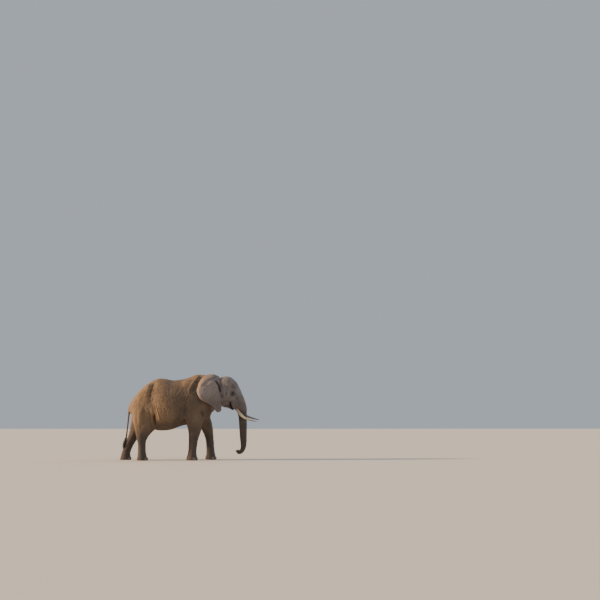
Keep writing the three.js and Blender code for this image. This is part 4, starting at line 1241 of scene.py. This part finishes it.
class ElephantHideSizes(bpy.types.PropertyGroup):
    grain: length("Grain", "Spacing of the hide's corners before it is thinned out", 0.0135, 0.008, 0.04)
    corners: tally("Triangles", "Most triangles that the hide keeps", 158000, 20000, 199000)
    rounding: tally("Rounding", "How many times the solids' facets are eased", 34, 0, 200)
    hide_shade: tint("Hide shade", "Grey-brown skin of the sides", "#54473d")
    hide_light: tint("Hide light", "Paler patches of the sides", "#726254")
    face_shade: tint("Face shade", "Mauve-grey skin of the head", "#5a5353")
    face_light: tint("Face light", "Paler patches of the head", "#8a8280")
    ear_shade: tint("Ear shade", "Skin of the ears", "#6e6665")
    ear_light: tint("Ear light", "Paler patches of the ears", "#948a86")
    # Leg tones: also laid under the belly as painted shade.
    leg_shade: tint("Leg shade", "Skin of the lower legs and trunk", "#403b3a")
    leg_light: tint("Leg light", "Paler patches there", "#57504d")
    # Dust: also painted sunlight on the rump, the flank's folds, the upper foreleg and the ear rims.
    dust: tint("Dust", "Dry soil on the back and rump", "#a18362")
    # Dirt and painted shade in the cracks and creases.
    dirt_and_shade: tint("Dirt", "What the cracks hold", "#33291f")
    # Wet skin: also painted shade in the mouth, the slit before the ear, the nostrils and under the brow.
    wet: tint("Wet skin", "Dark rims of the lids and the gland's stain", "#241b17")


class ElephantEyeSizes(bpy.types.PropertyGroup):
    radius: length("Radius", "Radius of the eyeball", 0.0248, 0.015, 0.03)
    pupil: tint("Pupil", "Pupil and the iris's dark rim", "#070505")
    iris_shade: tint("Iris shade", "Darker rays of the iris", "#2c170a")
    iris_light: tint("Iris light", "Paler rays of the iris", "#5f3a1a")
    eye_white: tint("White", "Stained white of the eye", "#4a3830")
    lashes: tally("Lashes", "Lashes on each upper lid", 64, 0, 300)


class ElephantTuskSizes(bpy.types.PropertyGroup):
    ivory_light: tint("Ivory light", "Clean ivory", "#d6c8ab")
    ivory_shade: tint("Ivory shade", "Darker grain", "#bba98a")
    ivory_stain: tint("Stain", "Sap near the lip", "#7a6146")
    # Soil: also painted shade on the underside and over the left tusk.
    ivory_soil_and_shade: tint("Soil", "Dried mud on the tips and over the left tusk", "#5a5149")


class ElephantNailSizes(bpy.types.PropertyGroup):
    nail_light: tint("Nail light", "Paler bands of the horn", "#6f6355")
    nail_shade: tint("Nail shade", "Darker bands of the horn", "#4e443c")
    nail_worn: tint("Nail worn", "Scuffed lower edge", "#857762")


class ElephantHairSizes(bpy.types.PropertyGroup):
    wires: tally("Tail hairs", "Hairs of the tail's tuft", 760, 50, 3000)
    bristles: tally("Bristles", "Sparse bristles on chin, crown, back and trunk", 1500, 0, 6000)
    hair: tint("Hair", "Hair of tail, lids and chin", "#1b1512")
    hair_dust: tint("Hair dust", "Dusty hair", "#4d3a2b")


class ElephantStudioSizes(bpy.types.PropertyGroup):
    floor: length("Floor", "Width of the floor", 400.0, 20.0, 2000.0)
    floor_tint: tint("Floor", "Pale matt floor", "#cfc7bb")
    air: tint("Air", "Pale surroundings", "#d6e0ea")


# ---------------------------------------------------------------- operators
class ELEPHANT_OT_hide(bpy.types.Operator):
    """One hide over all the flesh, with its folds, lids, mouth and trunk tip"""

    bl_idname = "elephant.hide"
    bl_label = "Hide"

    def execute(self, context):
        sizes = context.scene.elephant_hide
        hide = plugged_flesh()
        modified(hide, "REMESH", mode="VOXEL", voxel_size=sizes.grain, use_smooth_shade=True)
        keep_largest(hide)
        skin = Surface(hide)
        masks = masks_of(skin)
        fine = share(masks["head"] + masks["ear"] + masks["tail"] + step(skin.body[:, 2], 240, 60))
        pull = 0.6 - 0.32 * share(fine + masks["trunk"] * 0.6)
        skin.relax(sizes.rounding, pull * (1 - 0.85 * masks["tail"]) * (1 - 0.45 * masks["ear"]))
        for name in masks:
            skin.keep(name, masks[name])
        # the cheek runs into the jaw without a step, and so does the rump into the tail's root
        x, y, z = skin.head.T
        cheek = window(x, 1040, 1160, 1410, 1500) * window(z, 1930, 2010, 2150, 2230)
        cheek = cheek * step(np.abs(y), 60, 140) * share(masks["head"] + masks["jaw"])
        dock = mound(skin.body, [2100, 130, 1790], [190, 120, 170]) * (skin.body[:, 0] < 0) * (1 - masks["tail"])
        skin.smooth(70, 0.6 * np.maximum(cheek, dock))
        skin.smooth(120, 0.6 * dock)

        chin = (masks["jaw"] > 0.2) & (skin.head[:, 0] > 1250)
        refine(hide, (masks["trunk"] > 0.3) | chin | near_eyes(skin, 130))
        skin = Surface(hide)
        masks = {name: skin.kept(name) for name in masks}
        skin.relax(3, 0.4)
        # How deep each corner lies in a crease, where the hide's colour darkens it with dirt and painted shade.
        creased = np.zeros(len(skin.places))
        for form, darkening in (
            (fold_body, 0.03),
            (fold_head, 0.03),
            (shape_ears, 0.04),
            (ring_trunk, 0.05),
            (shape_trunk_tip, 0.03),
            (wrinkle_legs, 0.03),
            (loosen, 0.03),
        ):
            creased -= darkening * form(skin, masks)
        shape_sheaths(skin, masks)
        seat_nails(skin)
        skin.smooth(1, 0.35)
        skin.keep("creases", share(creased))

        ratio = min(1.0, sizes.corners / sum(len(p.vertices) - 2 for p in hide.data.polygons))
        modified(hide, "DECIMATE", decimate_type="COLLAPSE", ratio=ratio, use_collapse_triangulate=True)
        for reach in (132, 86, 50):
            refine(hide, near_eyes(Surface(hide), reach))
        skin = Surface(hide)
        close = near_eyes(skin, 80).astype(float)
        skin.smooth(6, 0.5 * close)
        dents = shape_eyes(skin)
        skin.smooth(1, 0.3 * close)
        skin.places[:, 2] = np.where(skin.places[:, 2] < SOLE, 0.0, skin.places[:, 2])
        skin.write()
        masks = {name: skin.kept(name) for name in masks}
        mark_hide(skin, masks, np.maximum(skin.kept("creases"), 0.11 * dents))
        for name in [*masks, "creases"]:
            hide.data.attributes.remove(hide.data.attributes[name])
        finished(hide, hide_material(sizes), "hide", *FLESH)
        return {"FINISHED"}


def lashes(name, side, count):
    """Stiff lashes that grow along one upper lid, and droop."""
    centre, ahead, above, out = eye_frame(side)
    rng = np.random.default_rng(7 + side)
    spread = np.linspace(0.12, 0.9, count) * np.pi + rng.normal(0, 0.02, count)
    wide, high = LID_SLIT
    a = np.cos(spread) * wide * 1.12 + rng.normal(0, 0.5, count)
    b = np.sin(spread) * high * 1.22 - 1 + rng.normal(0, 0.5, count)
    lids, _ = lid_height(a, b)
    roots = centre + a[:, None] * ahead + b[:, None] * above + (lids - 1.0)[:, None] * out
    ways = unit(out * 0.9 - above * 0.25 + ahead * (a / wide * 0.35)[:, None] + rng.normal(0, 0.08, (count, 3)))
    bends = out * 0.05 - above * 0.55 + rng.normal(0, 0.05, (count, 3))
    lengths = rng.uniform(30, 48, count) * MM
    widths = rng.uniform(0.9, 1.3, count) * MM
    ways, bends = (turned(way + NECK, -HEAD_TURN) - NECK for way in (ways, bends))
    unwrap = 0.5 + np.stack([a, b], axis=1) / 200
    return strands("lashes_" + name, head_to_model(roots), ways, bends, lengths, widths, unwrap, rings=6)


def hair_of(context):
    return bpy.data.materials.get("coarse_dark_hair") or hair_material(context.scene.elephant_hair)


class ELEPHANT_OT_eyes(bpy.types.Operator):
    """Two wet eyes with a round pupil, and lashes on the upper lids"""

    bl_idname = "elephant.eyes"
    bl_label = "Eyes"

    def execute(self, context):
        sizes = context.scene.elephant_eye
        wet, hair = eye_material(sizes), hair_of(context)
        for name, side in SIDES.items():
            centre, *_, out = eye_frame(side)
            here, there = head_to_model([centre, centre + out])
            ball = added(
                "eyeball_" + name,
                bpy.ops.mesh.primitive_uv_sphere_add,
                segments=48,
                ring_count=32,
                radius=sizes.radius,
                location=here,
                rotation=Vector(there - here).to_track_quat("Z", "Y").to_euler(),
            )
            bpy.ops.object.transform_apply(location=True, rotation=True, scale=True)
            surface = Surface(ball)
            a, b, h = eye_view(surface.head, side)
            reach = np.where(h > 0, np.hypot(a, b), EYE_RADIUS)
            surface.push(1.6 * step(reach, 12.5, 4) * (h > 0))  # the cornea stands out
            surface.keep("gaze", reach)
            surface.keep("round", wound(np.arctan2(b, a), reach * 0.02))
            finished(ball, wet, "eye", "eye_" + name)
            finished(lashes(name, side, sizes.lashes), hair, "tail_hair")
        return {"FINISHED"}


class ELEPHANT_OT_tusks(bpy.types.Operator):
    """Two curved tusks that taper to worn tips"""

    bl_idname = "elephant.tusks"
    bl_label = "Tusks"

    def execute(self, context):
        ivory = ivory_material(context.scene.elephant_tusk)
        for name in SIDES:
            rows = tusk_rows(name)
            rows[-1, 3] = TUSK_TIP
            rows = rod_rows(rows, head_to_model)
            tusk = swept("ivory_" + name, rows, 7, 10)
            surface = Surface(tusk)
            line = smooth_line(rows[:, :3], 10)
            _, _, along = along_line(surface.places, line)
            off = surface.places - on_line(line, along * (len(line) - 1))
            bearing = np.arctan2(off[:, 1], off[:, 2])
            # worn flats and long shallow flutes keep it from being a plain round rod
            flutes = 0.9 * np.cos(5 * bearing + 6 * along) * step(along, 0.02, 0.15)
            surface.push(flutes + 1.2 * noise(surface.body / 90, 4))
            # More soil towards the tip; painted shade on the underside and over the left tusk.
            soil_and_shade = TUSK_GROWN[name][2] + 0.55 * step(along, 0.5, 0.95) + 0.3 * step(surface.normals[:, 2], 0.0, -0.8)
            surface.keep("along", along)
            surface.keep("soil_and_shade", share(soil_and_shade))
            surface.keep("round", wound(bearing, along * 4))
            finished(tusk, ivory, "ivory", "tusk_" + name)
        return {"FINISHED"}


class ELEPHANT_OT_nails(bpy.types.Operator):
    """Broad nails set in the front of each foot"""

    bl_idname = "elephant.nails"
    bl_label = "Nails"

    def execute(self, context):
        horn = horn_material(context.scene.elephant_nail)
        for number, node in enumerate(NAILS):
            middle, out = nail_seat(node)
            nail = added("horn_" + node, bpy.ops.mesh.primitive_uv_sphere_add, segments=28, ring_count=18, radius=1)
            surface = Surface(nail)
            p = surface.places
            # a broad shield, flat in front: squared off below, rounded above, its foot pushed forwards
            square = np.interp(p[:, 2], [-0.6, 0.1], [0.55, 0.92])
            p[:, 1:] = np.sign(p[:, 1:]) * np.abs(p[:, 1:]) ** square[:, None]
            p *= np.array([18, 50 + 1.5 * (number % 3), 35]) * MM
            p[:, 0] += 0.8 * MM * np.sin(p[:, 2] / (3.4 * MM)) * step(np.abs(p[:, 1]), 0.045, 0.02) * (p[:, 0] > 0)
            p[:, 0] -= 0.22 * p[:, 2] + 2.8 * p[:, 1] ** 2 + 3 * MM
            surface.places = p @ np.array(Vector(out).to_track_quat("X", "Z").to_matrix()).T + middle
            surface.write()
            finished(nail, horn, "nail", node)
        return {"FINISHED"}


def tail_wires(rng, count):
    """Long wires from the front and back edges of the tail's end, that hang past it."""
    t = rng.uniform(0.0, 1.0, count) ** 0.8
    line = smooth_line([(x, 0, z, radius) for x, z, radius in TAIL_END[1:]], 8)
    at = on_line(line, t * (len(line) - 1))
    edge = rng.choice([0.0, np.pi], count) + rng.normal(0, 0.55, count)
    aside = grains(np.cos(edge), np.sin(edge) * 0.9, 0)
    roots = at[:, :3] + aside * at[:, 3:] * 0.8
    out = rng.uniform(0.14, 0.58, count)[:, None] * (1.15 - 0.4 * t[:, None])
    ways = unit([-0.16, 0.0, -1.0] + aside * out + rng.normal(0, 0.05, (count, 3)))
    bends = -0.30 * aside * out + rng.normal(0, 0.07, (count, 3)) + [-0.02, 0, -0.05]
    reach = np.clip(roots[:, 2] - TUFT_END, 60, None)
    lengths = np.minimum(rng.uniform(120, 300, count), reach * rng.uniform(0.75, 1.0, count)) * MM
    widths = rng.uniform(1.6, 2.6, count) * MM
    unwrap = np.stack([(edge % (2 * np.pi)) / (2 * np.pi), t], axis=1) * 0.94 + 0.03
    return strands("tail_wires", to_model(roots), ways, bends, lengths, widths, unwrap, sides=4, rings=7)


def bristles(rng, count):
    """Short single wires on chin, crown, back and trunk, that lean back along the skin."""
    skin = Surface(bpy.data.objects["hide"])
    up = skin.normals[:, 2]
    x, y, z = skin.body.T
    hx, _, hz = skin.head.T
    on_head = (x > 950) & (np.abs(y) < 480)
    crown = on_head * step(hz, 2650, 2900) * step(up, 0.1, 0.6)
    chin = on_head * step(hz, 2000, 1880) * (hz > 1760) * step(up, 0.3, -0.3) * (hx < 1560) * (hx > 1180)
    back = (x < 500) * step(z, 2500, 2800) * step(up, 0.4, 0.8) * 0.5
    trunk = (hx > 1640) * (hz < 1900) * (hz > 330) * 0.16
    chance = (crown + chin * 2.6 + back + trunk) * ~near_eyes(skin, 120)
    chosen = rng.choice(len(chance), count, replace=False, p=chance / chance.sum())
    body, normal = skin.body[chosen], skin.normals[chosen]
    on_chin = chin[chosen] > 0.1
    lean = np.where(body[:, :1] > 950, [[-0.3, 0, -0.2]], [[-0.8, 0, 0]])
    droop = np.where(on_chin[:, None], [[0.2, 0, -0.8]], [[0, 0, -0.1]])
    ways = unit(normal * 0.8 + lean + droop + rng.normal(0, 0.2, (count, 3)))
    lengths = rng.uniform(16, 38, count) * (1 + 0.5 * on_chin - 0.5 * (trunk[chosen] > 0)) * MM
    bends = rng.normal(0, 0.1, (count, 3)) + [-0.1, 0, -0.15]
    widths = rng.uniform(0.9, 1.4, count) * MM
    bearing = np.arctan2(body[:, 1], body[:, 2] - 1900)
    unwrap = np.stack([(body[:, 0] + 2500) / 5200, 0.5 + bearing / (2 * np.pi)], axis=1) * 0.98 + 0.01
    return strands("bristles", skin.places[chosen] - normal * 2 * MM, ways, bends, lengths, widths, unwrap, rings=4)


class ELEPHANT_OT_hair(bpy.types.Operator):
    """The tail's tuft of long wires, and sparse bristles on chin, crown, back and trunk"""

    bl_idname = "elephant.hair"
    bl_label = "Hair"

    def execute(self, context):
        sizes = context.scene.elephant_hair
        hair = hair_of(context)
        rng = np.random.default_rng(11)
        end = swept("tail_end", rod_rows([(x, 0, z, radius) for x, z, radius in TAIL_END], to_model), 3, 5)
        finished(tail_wires(rng, sizes.wires), hair, "tail_hair", "tail_tuft")
        finished(end, hair, "tail_hair")
        finished(bristles(rng, sizes.bristles), hair, "tail_hair")
        return {"FINISHED"}


class ELEPHANT_OT_studio(bpy.types.Operator):
    """A plain pale floor, soft light and the camera"""

    bl_idname = "elephant.studio"
    bl_label = "Studio"

    def execute(self, context):
        sizes = context.scene.elephant_studio
        floor = added("floor", bpy.ops.mesh.primitive_grid_add, x_subdivisions=8, y_subdivisions=8, size=sizes.floor)
        floor.data.materials.append(floor_material(sizes))

        context.scene.world = world = bpy.data.worlds.new("pale_air")
        world.use_nodes = True
        background = world.node_tree.nodes["Background"]
        background.inputs["Color"].default_value = sizes.air
        background.inputs["Strength"].default_value = 0.6

        # name, the way it comes from, watts per square metre, how wide it is in degrees, colour
        for name, place, strength, wide, code in (
            ("key", (-0.95, -0.04, 0.32), 7.6, 4.0, "#ffdab0"),
            ("fill", (0.45, -0.80, 0.40), 0.35, 60.0, "#eef1f6"),
            ("front", (0.85, 0.20, 0.45), 1.1, 50.0, "#dfeaf6"),
        ):
            turn = Vector(place).to_track_quat("Z", "Y").to_euler()
            light = added(name, bpy.ops.object.light_add, type="SUN", rotation=turn).data
            light.energy = strength
            light.angle = math.radians(wide)
            light.color = colour(code)[:3]

        level = math.cos(CAMERA_PITCH)
        way = Vector((math.cos(CAMERA_HEADING) * level, math.sin(CAMERA_HEADING) * level, math.sin(CAMERA_PITCH)))
        turn = way.to_track_quat("-Z", "Y").to_euler()
        camera = added("Camera", bpy.ops.object.camera_add, location=CAMERA_PLACE, rotation=turn)
        camera.data.lens, camera.data.sensor_width = CAMERA_LENS
        camera.data.clip_end = 1000
        context.scene.camera = camera
        return {"FINISHED"}


class ELEPHANT_PT_panel(bpy.types.Panel):
    """The elephant's pieces"""

    bl_label = "African Elephant"
    bl_idname = "ELEPHANT_PT_panel"
    bl_space_type = "VIEW_3D"
    bl_region_type = "UI"
    bl_category = "Elephant"

    def draw(self, context):
        for name, (operator, _) in PIECES.items():
            box = self.layout.box()
            box.operator(operator.bl_idname)
            sizes = getattr(context.scene, name)
            for size in sizes.__annotations__:
                box.prop(sizes, size)


PIECES = {
    "elephant_hide": (ELEPHANT_OT_hide, ElephantHideSizes),
    "elephant_eye": (ELEPHANT_OT_eyes, ElephantEyeSizes),
    "elephant_tusk": (ELEPHANT_OT_tusks, ElephantTuskSizes),
    "elephant_nail": (ELEPHANT_OT_nails, ElephantNailSizes),
    "elephant_hair": (ELEPHANT_OT_hair, ElephantHairSizes),
    "elephant_studio": (ELEPHANT_OT_studio, ElephantStudioSizes),
}
CLASSES = [*itertools.chain(*PIECES.values()), ELEPHANT_PT_panel]


def register():
    for each in CLASSES:
        bpy.utils.register_class(each)
    for name, (_, group) in PIECES.items():
        setattr(bpy.types.Scene, name, PointerProperty(type=group))


def unregister():
    for name in PIECES:
        delattr(bpy.types.Scene, name)
    for each in reversed(CLASSES):
        bpy.utils.unregister_class(each)


def main():
    register()
    for operator, _ in PIECES.values():
        area, name = operator.bl_idname.split(".")
        getattr(getattr(bpy.ops, area), name)()


if __name__ == "__main__":
    main()
